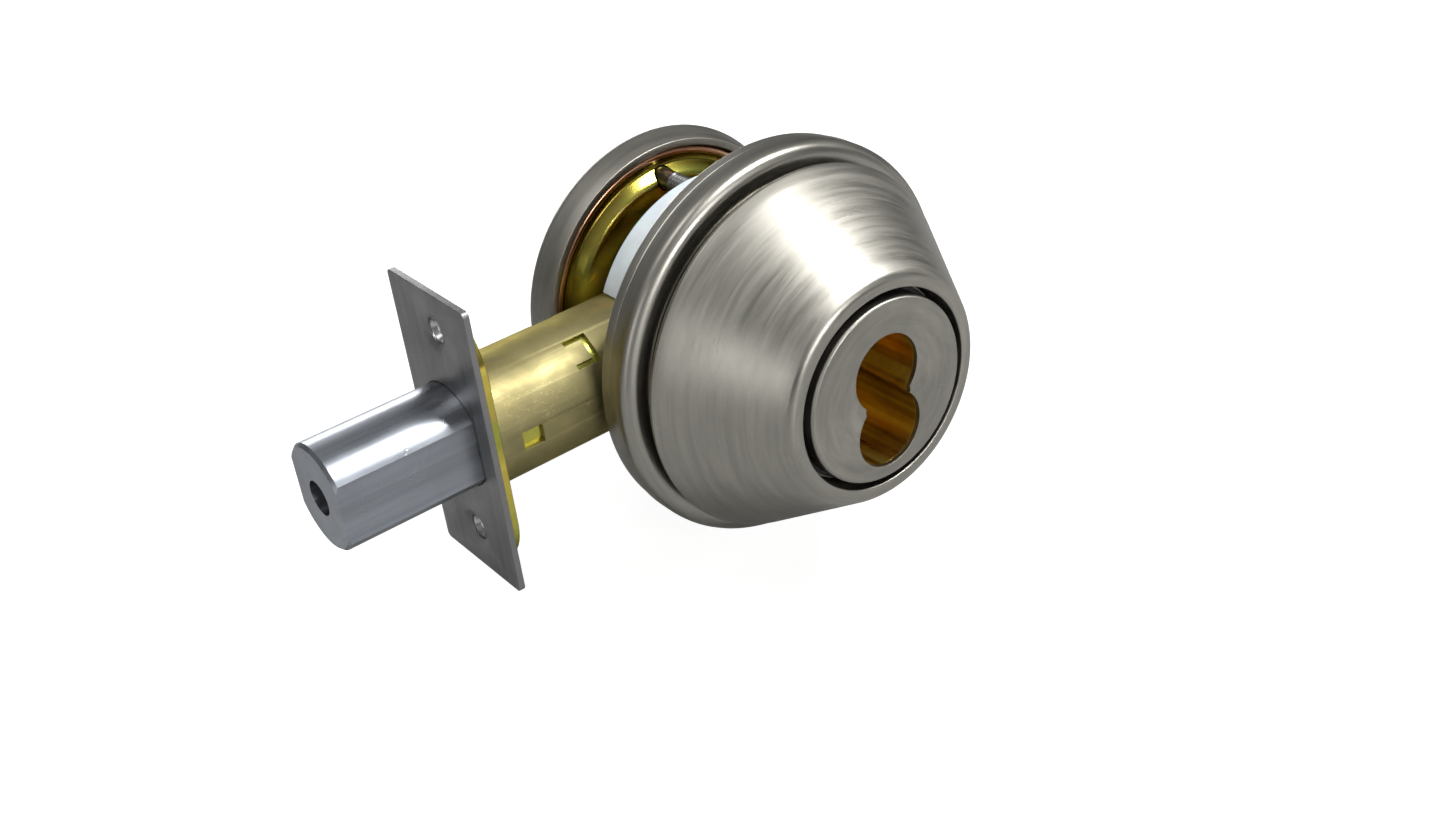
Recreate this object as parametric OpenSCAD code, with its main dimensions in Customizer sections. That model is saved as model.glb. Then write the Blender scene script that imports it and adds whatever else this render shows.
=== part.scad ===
// Tubular deadbolt for a bored door: latch with sliding bolt, outer trim with a
// free-turning guard collar and a core opening, inner thumbturn.
// X runs along the bolt (it points to -X), Y is the cylinder axis with the
// street side at -Y, Z is up. The origin is where the two axes cross.

/* [Latch] */
// Backset: door edge to the cylinder axis
backset = 60.325; // [59:0.1:72]
// Bolt throw
throw_len = 25.4; // [20:0.1:26]
// How far the drawn-back bolt stands proud of the faceplate
bolt_proud = 1.2; // [0.4:0.1:2]
// Bolt radius
bolt_r = 10.0; // [9:0.1:10.4]
// Half width of the bolt across its two flats
bolt_flat = 8.2; // [7:0.1:8.8]
// Radius of the hole in the bolt's end
bolt_bore_r = 3.3; // [2.4:0.1:4]
// Depth of the hole in front of the hardened pin
bolt_bore_depth = 3.0; // [1:0.5:6]
// Length of the hardened pin
hard_pin_len = 24; // [15:1:26]
// Edge bevel of the bolt's end
bolt_bevel = 0.6; // [0.2:0.1:1]
// Gap between the bolt and the inside of the latch tube
tube_play = 0.55; // [0.4:0.05:0.8]
// Latch tube wall
tube_wall = 1.2; // [0.8:0.1:1.3]
// How far the tube runs past the cylinder axis
tube_tail = 9; // [8:0.5:10.5]

/* [Faceplate] */
// Faceplate width
face_w = 25.4; // [24.6:0.1:32]
// Faceplate height
face_h = 57.15; // [56:0.05:64]
// Faceplate thickness
face_t = 1.2; // [1:0.1:2]
// Corner radius of the faceplate
face_corner = 1.0; // [0.5:0.1:4]
// Screw hole centre from the end of the faceplate
face_hole_end = 7.925; // [7.6:0.025:8.5]
// Screw hole radius in the faceplate
face_hole_r = 2.4; // [2:0.1:2.8]
// Countersink radius in the faceplate
face_sink_r = 4.2; // [3.4:0.1:4.6]
// How far the backing plate's sides stand in from the faceplate's
back_inset = 0.7; // [0.4:0.1:0.9]
// How far the backing plate's ends stand in from the faceplate's
back_short = 2.075; // [1:0.025:3]
// Backing plate thickness
back_t = 1.6; // [1:0.1:2]

/* [Bore sleeve] */
// Outer radius of the sleeve that lines the door bore
sleeve_r = 26.7; // [26.2:0.1:26.9]
// Wall of the sleeve
sleeve_wall = 1.1; // [0.8:0.1:1.4]
// How far the sleeve runs past the bolt axis to the inside
sleeve_in = 3.2; // [2:0.1:8]

/* [Outer trim] */
// Gap between the latch tube and the rear of the outer trim
outer_gap = 2.05; // [2.05:0.05:9]
// How far the ring's neck stands out past the bore sleeve
neck_step = 4.9; // [4.7:0.1:5.1]
// Wall of the ring's neck
neck_wall = 1.5; // [1.2:0.1:1.6]
// How far the neck reaches into the collar's base
neck_lap = 1.1; // [0.4:0.1:1.2]
// How far the ring's bead stands out past the collar's base
ring_lip = 3.1; // [2.6:0.1:5]
// Radius of the bead's round edge
bead_r = 3.8; // [3:0.1:4.2]
// Width of the flat seat round the ring's rear
seat_w = 2.1; // [1.6:0.1:2.6]
// Height of the collar's base edge over the ring's rear
collar_base_rise = 10.2; // [9.8:0.1:10.6]
// Height of the collar's front over the ring's rear
collar_front_rise = 32.3; // [32:0.1:34]
// Gap round the face cap in the collar's mouth
mouth_gap = 1.4; // [1.2:0.1:1.7]
// Roundness of the collar's front edge
collar_round = 4.0; // [3:0.1:4.4]
// Wall of the collar's cone
collar_wall = 2.2; // [1.6:0.1:2.6]

/* [Cylinder housing] */
// Radius of the two round lobes of the core opening
lobe_r = 7.28; // [6.8:0.02:7.4]
// Height of the upper lobe's centre
lobe_top_z = 3.85; // [3.4:0.05:4.2]
// Height of the lower lobe's centre, below the axis
lobe_low_z = 7.7; // [7.2:0.05:7.8]
// How far the two small notches between the lobes run out past the lobes' meeting
notch_out = 0.87; // [0.6:0.01:1.2]
// Least wall of the housing barrel, below the lower lobe
barrel_wall = 1.52; // [1.3:0.02:1.8]
// How far the face cap stands out past the barrel
cap_lip = 1.0; // [0.8:0.1:1.2]
// Face cap thickness
cap_t = 1.0; // [0.6:0.1:1.2]
// How far the face cap stands proud of the collar
cap_proud = 0.6; // [0.2:0.1:1]
// Thickness of the floor behind the core opening
floor_t = 2.2; // [2:0.1:3]
// Thickness of the housing flange
flange_t = 3.0; // [2.4:0.1:3.4]

/* [Through screws] */
// Radius of the screw shank
screw_r = 2.0; // [1.6:0.1:2.1]
// Wall of the housing boss round the screw
boss_wall = 1.4; // [1.2:0.1:1.5]
// Radius of the screw head
screw_head_r = 3.5; // [3:0.1:3.8]
// Height of the screw head
screw_head_h = 2.0; // [1.4:0.1:2.4]

/* [Inner trim] */
// Gap between the latch tube and the rear of the inner trim
inner_gap = 2.05; // [2.05:0.05:9]
// How far the rose stands out past the bore sleeve
rose_over = 4.6; // [4.4:0.1:6]
// How much smaller the rose's rear edge is
rose_draft = 1.4; // [0.8:0.1:1.6]
// Wall of the rose
rose_wall = 1.4; // [1.2:0.1:1.5]
// Radius of the raised centre of the rose
rose_hub_r = 12.0; // [11:0.5:14]
// Height of the raised centre of the rose
rose_hub_h = 3.0; // [2.6:0.1:4]
// Width of the mounting plate between its rim and its centre hole
mount_band = 15.2; // [14:0.1:16]
// Mounting plate sheet thickness
mount_t = 1.2; // [1:0.1:1.4]
// How far the pressed rib of the mounting plate stands towards the door
mount_rib = 2.2; // [1:0.1:2.4]

/* [Thumbturn] */
// Length of the turn piece
turn_l = 36; // [30:1:38]
// Thickness of the turn piece
turn_t = 9; // [7:0.5:11]
// Height of the turn piece over its collar
turn_h = 17; // [12:0.5:20]
// Radius of the turn piece's round foot
turn_foot_r = 9.5; // [8.5:0.5:10.5]
// Wall of the spindle beside the tailpiece
spindle_wall = 1.8; // [1.6:0.1:2.2]

/* [Drive] */
// Angle the thumbturn turns to draw the bolt
turn_angle = 90; // [88:1:96]
// Width of the flat tailpiece
blade_w = 6.0; // [5.4:0.1:6.2]
// Thickness of the flat tailpiece
blade_t = 2.4; // [1.8:0.1:2.6]
// Wall of the hub beside the tailpiece
hub_shell = 2.5; // [2.2:0.1:2.6]
// Radius of the crank pin
crank_pin_r = 1.25; // [1.1:0.05:1.4]
// Thickness of each crank arm
arm_t = 1.8; // [1.2:0.1:2]
// Thickness of the bolt tail
tail_t = 2.0; // [1.6:0.1:2.4]
// Wall around the crank slot in the bolt tail
slot_wall = 1.4; // [1.2:0.1:1.5]

/* [Clearances] */
// Running clearance of a shaft in its bearing
run = 0.1; // [0.05:0.01:0.1]
// Gap between pieces that move past each other
gap = 0.3; // [0.3:0.05:0.4]
// Gap between fixed pieces that slip together
slip = 0.05; // [0.02:0.01:0.1]
// Extra half width of the crank slot beyond the pin
slot_play = 0.6; // [0.6:0.05:0.8]

/* [Hidden] */
$fn = 96;
eps = 0.5;                                   // how far a cut runs past a face

// Latch, measured along s = -x
face_s = backset;
face_back_s = face_s - face_t;
tube_s = face_back_s - back_t;
face_pitch = face_h - 2 * face_hole_end;
sink_depth = 0.6 * face_t;
back_w = face_w - 2 * back_inset;
back_h = face_h - 2 * back_short;
back_hole_r = face_hole_r + 0.4;
bolt_tip_s = face_s + bolt_proud + throw_len;
bolt_rear_s = throw_len + 20.6;              // keeps the drawn-back bolt off the hub
pin_bore_r = bolt_bore_r - 0.3;
tube_in_r = bolt_r + tube_play;
tube_r = tube_in_r + tube_wall;
low_window = [tube_s - 6.325, 4.2, 3.6];     // s, length, width of the side windows
top_window = [tube_s - 21.125, 4.8, 6.0];    // and of the two upper ones
top_window_tilt = 52;
tab_len = 3.6;                               // tab left standing in an upper window
tab_w = 4.0;
tab_skin = 0.35;                             // wall pressed away over the tab

// Crank: pin radius from the throw, pin swings turn_angle/2 each side of down
hub_r = blade_w / 2 + hub_shell;
crank_r = throw_len / 2 / sin(turn_angle / 2);
pin_x = -throw_len / 2;
pin_z = -crank_r * cos(turn_angle / 2);
slot_half = crank_pin_r + slot_play;
slot_z_top = pin_z + crank_pin_r + gap;
slot_z_low = -crank_r - crank_pin_r - gap;
head_half = slot_half + slot_wall;
tail_z_top = -hub_r - 0.6;
tail_z_low = -tube_in_r + 0.75;
tail_z_mid = (tail_z_top + tail_z_low) / 2;
tail_socket = 8;                             // tail strip's depth in the bolt
rivet_r = 0.27 * (tail_z_top - tail_z_low);
rivet_half = 0.46 * bolt_r;
rivet_s = [2.4, 5.8];                        // behind the bolt's rear face
arm_half = crank_pin_r + 1.9;                // round end of the crank arm
arm_waist = 0.35;                            // the arm's sides stand in from its round ends
hub_eye = 1.9;                               // eye of the arm round the hub
arm_y_in = tail_t / 2 + gap;
arm_y_out = arm_y_in + arm_t;
slot_side = arm_y_out + 0.8;                 // half width of the slot under the tube
slot_end_room = 2.6;
relief_room = 4.0;                           // sleeve relief past the bolt tail's head

// Outer trim, measured along h = -y from the bolt axis
outer_seat = tube_r + outer_gap;
web_rise = 1.9;                              // ring web over the ring's rear
web_t = 2.0;
neck_r = sleeve_r + neck_step;
neck_in_r = neck_r - neck_wall;
flange_r = neck_in_r - gap;
collar_base_r = neck_r + collar_wall + 1.2;
collar_foot = 0.7;                           // upright edge under the cone
ring_r = collar_base_r + ring_lip;
band_r = ring_r - 0.3;
bead_c = ring_r - bead_r;
bead_rise = bead_r + 0.2;
bead_edge = 1.2;                             // band and web reach this far from the bead's centre
neck_rise = collar_base_rise + neck_lap;
barrel_r = lobe_low_z + lobe_r + barrel_wall;
cap_r = barrel_r + cap_lip;
cap_round = 0.7;
mouth_r = cap_r + mouth_gap;
flange_h0 = outer_seat + web_rise + web_t;
flange_h1 = flange_h0 + flange_t;
collar_h0 = outer_seat + collar_base_rise;
collar_h1 = outer_seat + collar_front_rise;
cap_h = collar_h1 + cap_proud;
barrel_h1 = cap_h - cap_t;
barrel_h0 = outer_seat + 2.0;
cavity_h0 = barrel_h0 + floor_t;
skirt_len = 3.3;
shoulder_h = collar_h1 - 8.6;                // housing shoulder behind the washer
shoulder_r = barrel_r + 2.5;
washer_t = 0.8;
web2_h0 = shoulder_h + washer_t + gap;       // bearing web of the collar
web2_h1 = web2_h0 + 2.0;
snap_h0 = web2_h1 + gap;
snap_t = 1.0;
snap_groove_r = barrel_r - 1.1;
snap_r = barrel_r + 1.8;
snap_cut = 1.8;
boss_r = screw_r + boss_wall;
boss_h0 = outer_seat - 3.7;
boss_root = 1.0;                             // how far the boss runs into the flange
screw_z = sleeve_r - boss_r + 0.1;
screw_tip_h = flange_h0 - 2.2;
screw_slot = 1.0;
notch_h = 1.1;
notch_z = (lobe_top_z - lobe_low_z) / 2;
notch_x = sqrt(lobe_r * lobe_r - pow((lobe_top_z + lobe_low_z) / 2, 2)) + notch_out;
cam_r = blade_w / 2 + 4.0;
cam_t = 1.5;
cam_pin_r = 1.2;
cam_pin_x = blade_t / 2 + 2.0;
cam_pin_rise = 3.4;                          // how far the pins stand into the cavity
retainer_t = 1.2;
retainer_h0 = barrel_h0 - retainer_t;
retainer_hole_r = blade_w / 2 + 1.6;
retainer_screw_r = 0.9;
retainer_screw_x = cam_r + 2.3;
retainer_r = retainer_screw_x + 2.2;
cam_screw_head_r = 1.7;
cam_screw_head_h = 0.5;
cam_screw_len = 1.7;

// Cone of the collar: it runs from the foot to where it meets the front rounding
fr_c = [mouth_r + 0.3, collar_h1 - collar_round];
base_pt = [collar_base_r, collar_h0 + collar_foot];
cone_d = norm(fr_c - base_pt);
cone_ang = atan2(fr_c[1] - base_pt[1], fr_c[0] - base_pt[0]) - asin(collar_round / cone_d);
fr_t = fr_c + collar_round * [cos(cone_ang - 90), sin(cone_ang - 90)];
wall_shift = collar_wall / sin(cone_ang);
function cone_r(h) = base_pt[0] + (h - base_pt[1]) / tan(cone_ang);

// Inner side, measured along y
inner_seat = tube_r + inner_gap;
mount_set = 0.9;                             // mounting plate ahead of the rose's rear
mount_y0 = inner_seat + mount_set;
mount_y1 = mount_y0 + mount_t;
rose_face_in = mount_y1 + screw_head_h + 0.2;
rose_y1 = rose_face_in + rose_wall;
rose_r = sleeve_r + rose_over;
rose_rear_r = rose_r - rose_draft;
rose_round = 1.2;
rose_hub_round = 0.8;
mount_r = rose_rear_r - rose_wall - gap;
mount_hole_r = mount_r - mount_band;
mount_pad_r = screw_head_r + 0.8;
rib_r = mount_r - 7.2;
rib_sink = 2.2;                              // the rib's centre line behind the plate's front
hub_y = tube_r + 0.25;
spindle_r = blade_w / 2 + spindle_wall;
spindle_y0 = tube_r + 1.55;
spindle_deep = 7;                            // spindle's depth in the turn piece
turn_y0 = rose_y1 + rose_hub_h + gap;
turn_foot_h = 5;
turn_foot_round = 0.8;
blade_y1 = rose_y1 + 1.5;
clip_t = 0.8;
clip_groove = 0.8;
clip_out = 3;
clip_mouth = 1.6;
clip_y0 = rose_face_in - clip_t - gap;
wing_foot = 2;                               // the wing starts inside the foot
wing_r = 21;                                 // arc over the wing
set_screw_r = 1.0;
set_screw_y = turn_y0 + 3.6;
set_screw_sink = 0.4;

steel = [0.66, 0.65, 0.63];
chrome = [0.60, 0.62, 0.65];
zinc = [0.62, 0.56, 0.28];
olive = [0.50, 0.47, 0.30];
brass = [0.75, 0.52, 0.18];
plastic = [0.85, 0.86, 0.92];
dark = [0.30, 0.30, 0.31];

// Local z becomes -x: along the bolt, outward
module along_bolt(s = 0) translate([-s, 0, 0]) rotate([0, -90, 0]) children();
// Local z becomes -y: out of the door on the street side
module outward(h = 0) translate([0, -h, 0]) rotate([90, 0, 0]) children();
// Local z becomes +y: into the room
module inward(y = 0) translate([0, y, 0]) rotate([-90, 0, 0]) children();
// Turned ring with a profile of (radius, height)
module turned() outward() rotate_extrude() children();
module turned_in() inward() rotate_extrude() children();
// Rectangle in a (radius, height) profile
module band(r0, r1, h0, h1) translate([r0, h0]) square([r1 - r0, h1 - h0]);
// Cylinder along y between two heights on the street side
module rod_out(r, h0, h1) outward(h0) cylinder(r = r, h = h1 - h0);
module rod_in(r, y0, y1) inward(y0) cylinder(r = r, h = y1 - y0);

// Bolt section across its axis, grown by g
module bolt_section(g = 0) intersection() {
    circle(r = bolt_r + g);
    square([4 * bolt_r, 2 * (bolt_flat + g)], center = true);
}

module plate_screw_places()
    for (z = [-1, 1]) translate([0, 0, z * face_pitch / 2]) children();

module rounded_rect(h, w, r) {
    square([h - 2 * r, w], center = true);
    square([h, w - 2 * r], center = true);
    for (i = [-1, 1], j = [-1, 1]) translate([i * (h / 2 - r), j * (w / 2 - r)]) circle(r = r);
}

// ---- latch ----

module faceplate() color(steel) difference() {
    along_bolt(face_back_s) linear_extrude(face_t) rounded_rect(face_h, face_w, face_corner);
    along_bolt(face_back_s - eps) linear_extrude(face_t + 2 * eps) bolt_section(run);
    plate_screw_places() {
        along_bolt(face_back_s - eps) cylinder(r = face_hole_r, h = face_t + 2 * eps);
        along_bolt(face_s - sink_depth)
            cylinder(r1 = face_hole_r, r2 = face_sink_r, h = sink_depth + 0.01);
    }
}

module backing_plate() color(zinc) difference() {
    along_bolt(tube_s) linear_extrude(back_t) {
        square([back_h - back_w, back_w], center = true);
        for (z = [-1, 1]) translate([z * (back_h - back_w) / 2, 0]) circle(r = back_w / 2);
    }
    along_bolt(tube_s - eps) linear_extrude(back_t + 2 * eps) bolt_section(gap);
    plate_screw_places() along_bolt(tube_s - eps)
        cylinder(r = back_hole_r, h = back_t + 2 * eps);
}

// Small pressed window in the tube wall, size = [s, length, width]
module tube_window(size, tilt) rotate([tilt, 0, 0])
    translate([-size[0] - size[1] / 2, -tube_r - eps, -size[2] / 2]) cube([size[1], tube_wall + 1.2, size[2]]);

module latch_tube() color(olive) {
    difference() {
        along_bolt(-tube_tail) cylinder(r = tube_r, h = tube_s + tube_tail);
        along_bolt(-tube_tail - eps) cylinder(r = tube_in_r, h = tube_s + tube_tail + 2 * eps);
        // bearing holes of the hub
        rod_in(hub_r + run, -tube_r - eps, tube_r + eps);
        // slot for the crank and the bolt tail
        translate([pin_x - head_half - slot_end_room, -slot_side, -tube_r - eps])
            cube([tube_tail + eps - pin_x + head_half + slot_end_room, 2 * slot_side, tube_r]);
        for (tilt = [0, 180]) tube_window(low_window, tilt);
        for (tilt = [-top_window_tilt, top_window_tilt - 180]) tube_window(top_window, tilt);
    }
    // tabs left standing in the two upper windows
    for (tilt = [-top_window_tilt, top_window_tilt - 180]) rotate([tilt, 0, 0])
        translate([-top_window[0] - top_window[1] / 2, -tube_r + tab_skin, -tab_w / 2])
            cube([tab_len, tube_wall - 0.4, tab_w]);
}

module bolt_head() color(chrome) difference() {
    union() {
        along_bolt(bolt_rear_s) linear_extrude(bolt_tip_s - bolt_rear_s - bolt_bevel) bolt_section();
        intersection() {
            along_bolt(bolt_tip_s - bolt_bevel) cylinder(r1 = bolt_r, r2 = bolt_r - bolt_bevel, h = bolt_bevel);
            along_bolt(bolt_tip_s - bolt_bevel) linear_extrude(bolt_bevel) bolt_section();
        }
    }
    along_bolt(bolt_tip_s - bolt_bore_depth - hard_pin_len)
        cylinder(r = pin_bore_r, h = hard_pin_len + 0.01);
    along_bolt(bolt_tip_s - bolt_bore_depth) cylinder(r = bolt_bore_r, h = bolt_bore_depth + eps);
    // socket for the tail strip
    translate([-bolt_rear_s - tail_socket, -tail_t / 2, tail_z_low])
        cube([tail_socket + eps, tail_t, tail_z_top - tail_z_low]);
    rivet_places() rod_in(rivet_r, -rivet_half, rivet_half);
}

module hardened_pin() color(dark) along_bolt(bolt_tip_s - bolt_bore_depth - hard_pin_len)
    cylinder(r = pin_bore_r, h = hard_pin_len);

module rivet_places() for (s = rivet_s) translate([-bolt_rear_s - s, 0, tail_z_mid]) children();

// Outline standing in the XZ plane, made t thick about y = 0
module side_sheet(t) translate([0, t / 2, 0]) rotate([90, 0, 0]) linear_extrude(t) children();

module bolt_tail() color(olive) difference() {
    side_sheet(tail_t) difference() {
        union() {
            translate([-bolt_rear_s - tail_socket, tail_z_low])
                square([bolt_rear_s + tail_socket + pin_x, tail_z_top - tail_z_low]);
            translate([pin_x - head_half, slot_z_low + slot_half])
                square([2 * head_half, tail_z_top - slot_z_low - slot_half]);
            translate([pin_x, slot_z_low + slot_half]) circle(r = head_half);
        }
        translate([pin_x - slot_half, slot_z_low + slot_half])
            square([2 * slot_half, slot_z_top - slot_z_low - 2 * slot_half]);
        for (z = [slot_z_low + slot_half, slot_z_top - slot_half]) translate([pin_x, z]) circle(r = slot_half);
    }
    rivet_places() rod_in(rivet_r, -tail_t, tail_t);
}

module tail_rivets() color(steel) rivet_places() rod_in(rivet_r, -rivet_half, rivet_half);

// ---- hub in the tube ----

module blade_hole(g, y0, y1) translate([-blade_t / 2 - g, y0, -blade_w / 2 - g])
    cube([blade_t + 2 * g, y1 - y0, blade_w + 2 * g]);

module hub() color(olive) difference() {
    rod_in(hub_r, -hub_y, hub_y);
    blade_hole(run, -hub_y - eps, hub_y + eps);
}

// Arms point at the pin: turn_angle/2 from straight down, towards the bolt
module crank_arm(y_mid) translate([0, y_mid, 0]) side_sheet(arm_t) difference() {
    union() {
        rotate(-turn_angle / 2) translate([-arm_half + arm_waist, -crank_r])
            square([2 * (arm_half - arm_waist), crank_r]);
        translate([pin_x, pin_z]) circle(r = arm_half);
        circle(r = hub_r + hub_eye);
    }
    circle(r = hub_r);
    translate([pin_x, pin_z]) circle(r = crank_pin_r);
}

module crank_arms() color(olive)
    for (i = [-1, 1]) crank_arm(i * (arm_y_in + arm_y_out) / 2);

module crank_pin() color(steel) translate([pin_x, 0, pin_z]) rod_in(crank_pin_r, -arm_y_out, arm_y_out);

// ---- outer trim ----

module trim_ring() color(steel) turned() difference() {
    union() {
        translate([bead_c, outer_seat + bead_rise]) circle(r = bead_r);
        band(neck_in_r, band_r, outer_seat, outer_seat + bead_rise - bead_edge);
        band(neck_in_r, bead_c, outer_seat, outer_seat + bead_rise + bead_edge);
        band(neck_in_r, neck_r, outer_seat, outer_seat + neck_rise);
        band(sleeve_r + gap, neck_r, outer_seat + web_rise, flange_h0);
    }
    band(sleeve_r, band_r - seat_w, outer_seat - eps, outer_seat + web_rise);
}

module bore_sleeve() color(plastic) difference() {
    rod_out(sleeve_r, -sleeve_in, flange_h0);
    rod_out(sleeve_r - sleeve_wall, -sleeve_in - eps, flange_h0 + eps);
    // U notch for the latch tube
    along_bolt(0) cylinder(r = tube_r + gap, h = sleeve_r + eps);
    translate([-sleeve_r - eps, 0, -tube_r - gap])
        cube([sleeve_r, sleeve_in + eps, 2 * (tube_r + gap)]);
    // relief below for the crank and the bolt tail
    translate([pin_x - head_half - relief_room, -slot_side, -sleeve_r - eps])
        cube([2 * (head_half + relief_room - pin_x), slot_side + sleeve_in + eps, sleeve_r + eps + pin_z]);
    // reliefs for the two screw bosses
    for (z = [-1, 1]) translate([0, 0, z * screw_z])
        rod_out(boss_r + slip, boss_h0 - gap, flange_h0 + eps);
}

module core_section() {
    translate([0, lobe_top_z]) circle(r = lobe_r);
    translate([0, -lobe_low_z]) circle(r = lobe_r);
    translate([-notch_x, notch_z - notch_h / 2]) square([2 * notch_x, notch_h]);
}

module core_cut(h0, h1) outward(h0) linear_extrude(h1 - h0) core_section();

module retainer_screw_places() for (x = [-1, 1]) translate([x * retainer_screw_x, 0, 0]) children();

module cylinder_housing() color(brass) difference() {
    union() {
        turned() {
            band(0, barrel_r, barrel_h0, barrel_h1);
            band(0, shoulder_r, barrel_h0, shoulder_h);
            band(0, flange_r, flange_h0, flange_h1);
        }
        for (z = [-1, 1]) translate([0, 0, z * screw_z]) rod_out(boss_r, boss_h0, flange_h0 + boss_root);
    }
    core_cut(cavity_h0, barrel_h1 + eps);
    rod_out(cam_r + run, barrel_h0 - eps, cavity_h0 + 0.01);
    turned() band(snap_groove_r, barrel_r + eps, snap_h0, snap_h0 + snap_t);
    for (z = [-1, 1]) translate([0, 0, z * screw_z])
        rod_out(screw_r + slip, boss_h0 - eps, flange_h0 + boss_root + 0.6);
    retainer_screw_places() rod_out(retainer_screw_r, barrel_h0 - eps, barrel_h0 + cam_screw_len + 0.1);
}

module cam_retainer() color(steel) difference() {
    rod_out(retainer_r, retainer_h0, barrel_h0);
    rod_out(retainer_hole_r, retainer_h0 - eps, barrel_h0 + eps);
    retainer_screw_places() rod_out(retainer_screw_r, retainer_h0 - eps, barrel_h0 + eps);
}

module cam_screws() color(dark) retainer_screw_places() {
    rod_out(retainer_screw_r, retainer_h0, barrel_h0 + cam_screw_len);
    rod_out(cam_screw_head_r, retainer_h0 - cam_screw_head_h, retainer_h0);
}

module face_cap() color(steel) difference() {
    turned() difference() {
        union() {
            band(0, cap_r, barrel_h1 - skirt_len, cap_h - cap_round);
            band(0, cap_r - cap_round, barrel_h1 - skirt_len, cap_h);
            translate([cap_r - cap_round, cap_h - cap_round]) circle(r = cap_round);
        }
        band(0, barrel_r, barrel_h1 - skirt_len - eps, barrel_h1);
    }
    core_cut(barrel_h1 - eps, cap_h + eps);
}

module collar_washer() color(plastic) turned() band(barrel_r + slip, shoulder_r, shoulder_h, shoulder_h + washer_t);

module collar_snap_ring() color(dark) difference() {
    turned() band(snap_groove_r, snap_r, snap_h0, snap_h0 + snap_t);
    translate([-snap_cut / 2, -snap_h0 - snap_t - eps, 0]) cube([snap_cut, snap_t + 2 * eps, snap_r + eps]);
}

// ---- guard collar ----

module collar_outline() {
    polygon([[0, collar_h0], [collar_base_r, collar_h0], base_pt, fr_t, fr_c, [fr_c[0], collar_h1], [0, collar_h1]]);
    translate(fr_c) circle(r = collar_round);
}

module guard_collar() color(steel) turned() difference() {
    collar_outline();
    // hollow behind the cone, its wall parallel to the cone
    polygon([[0, collar_h0 - eps], [collar_base_r - wall_shift, collar_h0 - eps],
        [collar_base_r - wall_shift, base_pt[1]], [cone_r(web2_h0) - wall_shift, web2_h0], [0, web2_h0]]);
    // bearing bore and mouth
    band(-eps, barrel_r + run, 0, collar_h1 + eps);
    band(-eps, mouth_r, web2_h1, collar_h1 + eps);
}

// ---- inner trim ----

module mounting_plate() color(zinc) difference() {
    union() {
        turned_in() difference() {
            union() {
                band(mount_hole_r, mount_r, mount_y0, mount_y1);
                translate([rib_r, mount_y0 + rib_sink]) circle(r = rib_sink + mount_rib);
            }
            translate([rib_r, mount_y0 + rib_sink]) circle(r = rib_sink + mount_rib - mount_t);
            band(0, 2 * mount_r, mount_y1, mount_y1 + 4 * rib_sink);
        }
        for (z = [-1, 1]) translate([0, 0, z * screw_z]) rod_in(mount_pad_r, mount_y0 - 0.2, mount_y1);
    }
    for (z = [-1, 1]) translate([0, 0, z * screw_z]) rod_in(screw_r + gap, mount_y0 - 2 * mount_rib, mount_y1 + eps);
}

module mounting_screws() color(steel) for (z = [-1, 1]) translate([0, 0, z * screw_z]) {
    rod_in(screw_r, -screw_tip_h, mount_y1);
    difference() {
        rod_in(screw_head_r, mount_y1, mount_y1 + screw_head_h);
        translate([-screw_slot / 2, mount_y1 + screw_head_h / 2, -screw_head_r - eps])
            cube([screw_slot, screw_head_h / 2 + eps, 2 * (screw_head_r + eps)]);
    }
}

module inner_rose() color(steel) turned_in() difference() {
    union() {
        polygon([[0, inner_seat], [rose_rear_r, inner_seat], [rose_r, rose_y1 - rose_round - 0.2],
            [rose_r, rose_y1 - rose_round], [0, rose_y1 - rose_round]]);
        band(0, rose_r - rose_round, rose_y1 - rose_round - 0.2, rose_y1);
        translate([rose_r - rose_round, rose_y1 - rose_round]) circle(r = rose_round);
        band(0, rose_hub_r - rose_hub_round, rose_face_in, rose_y1 + rose_hub_h);
        band(0, rose_hub_r, rose_face_in, rose_y1 + rose_hub_h - rose_hub_round);
        translate([rose_hub_r - rose_hub_round, rose_y1 + rose_hub_h - rose_hub_round]) circle(r = rose_hub_round);
    }
    band(-eps, rose_rear_r - rose_wall, inner_seat - eps, rose_face_in);
    band(-eps, spindle_r + run, inner_seat, rose_y1 + rose_hub_h + eps);
    band(-eps, rose_hub_r - 2, inner_seat, rose_y1 + rose_hub_h - 1.8);
}

// ---- drive and thumbturn ----

module tailpiece() color(steel) blade_hole(0, -(barrel_h0 + cam_t), blade_y1);

module throw_cam() color(brass) difference() {
    rod_out(cam_r, barrel_h0 + slip, barrel_h0 + cam_t);
    blade_hole(0, -(barrel_h0 + cam_t) - eps, 0);
    for (x = [-1, 1]) translate([x * cam_pin_x, 0, 0]) rod_out(cam_pin_r, barrel_h0 - eps, barrel_h0 + cam_t + eps);
}

module drive_pins() color(steel) for (x = [-1, 1]) translate([x * cam_pin_x, 0, 0])
    rod_out(cam_pin_r, barrel_h0 + slip, cavity_h0 + cam_pin_rise);

module thumb_spindle() color(steel) difference() {
    rod_in(spindle_r, spindle_y0, turn_y0 + spindle_deep);
    blade_hole(run, spindle_y0 - eps, blade_y1 + gap);
    turned_in() band(spindle_r - clip_groove, spindle_r + eps, clip_y0, clip_y0 + clip_t);
    translate([0, set_screw_y, 0]) cylinder(r = set_screw_r, h = spindle_r + eps);
}

module thumb_clip() color(dark) difference() {
    turned_in() band(spindle_r - clip_groove, spindle_r + clip_out, clip_y0, clip_y0 + clip_t);
    translate([0, clip_y0 - eps, -clip_mouth]) cube([spindle_r + clip_out + eps, clip_t + 2 * eps, 2 * clip_mouth]);
}

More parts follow.
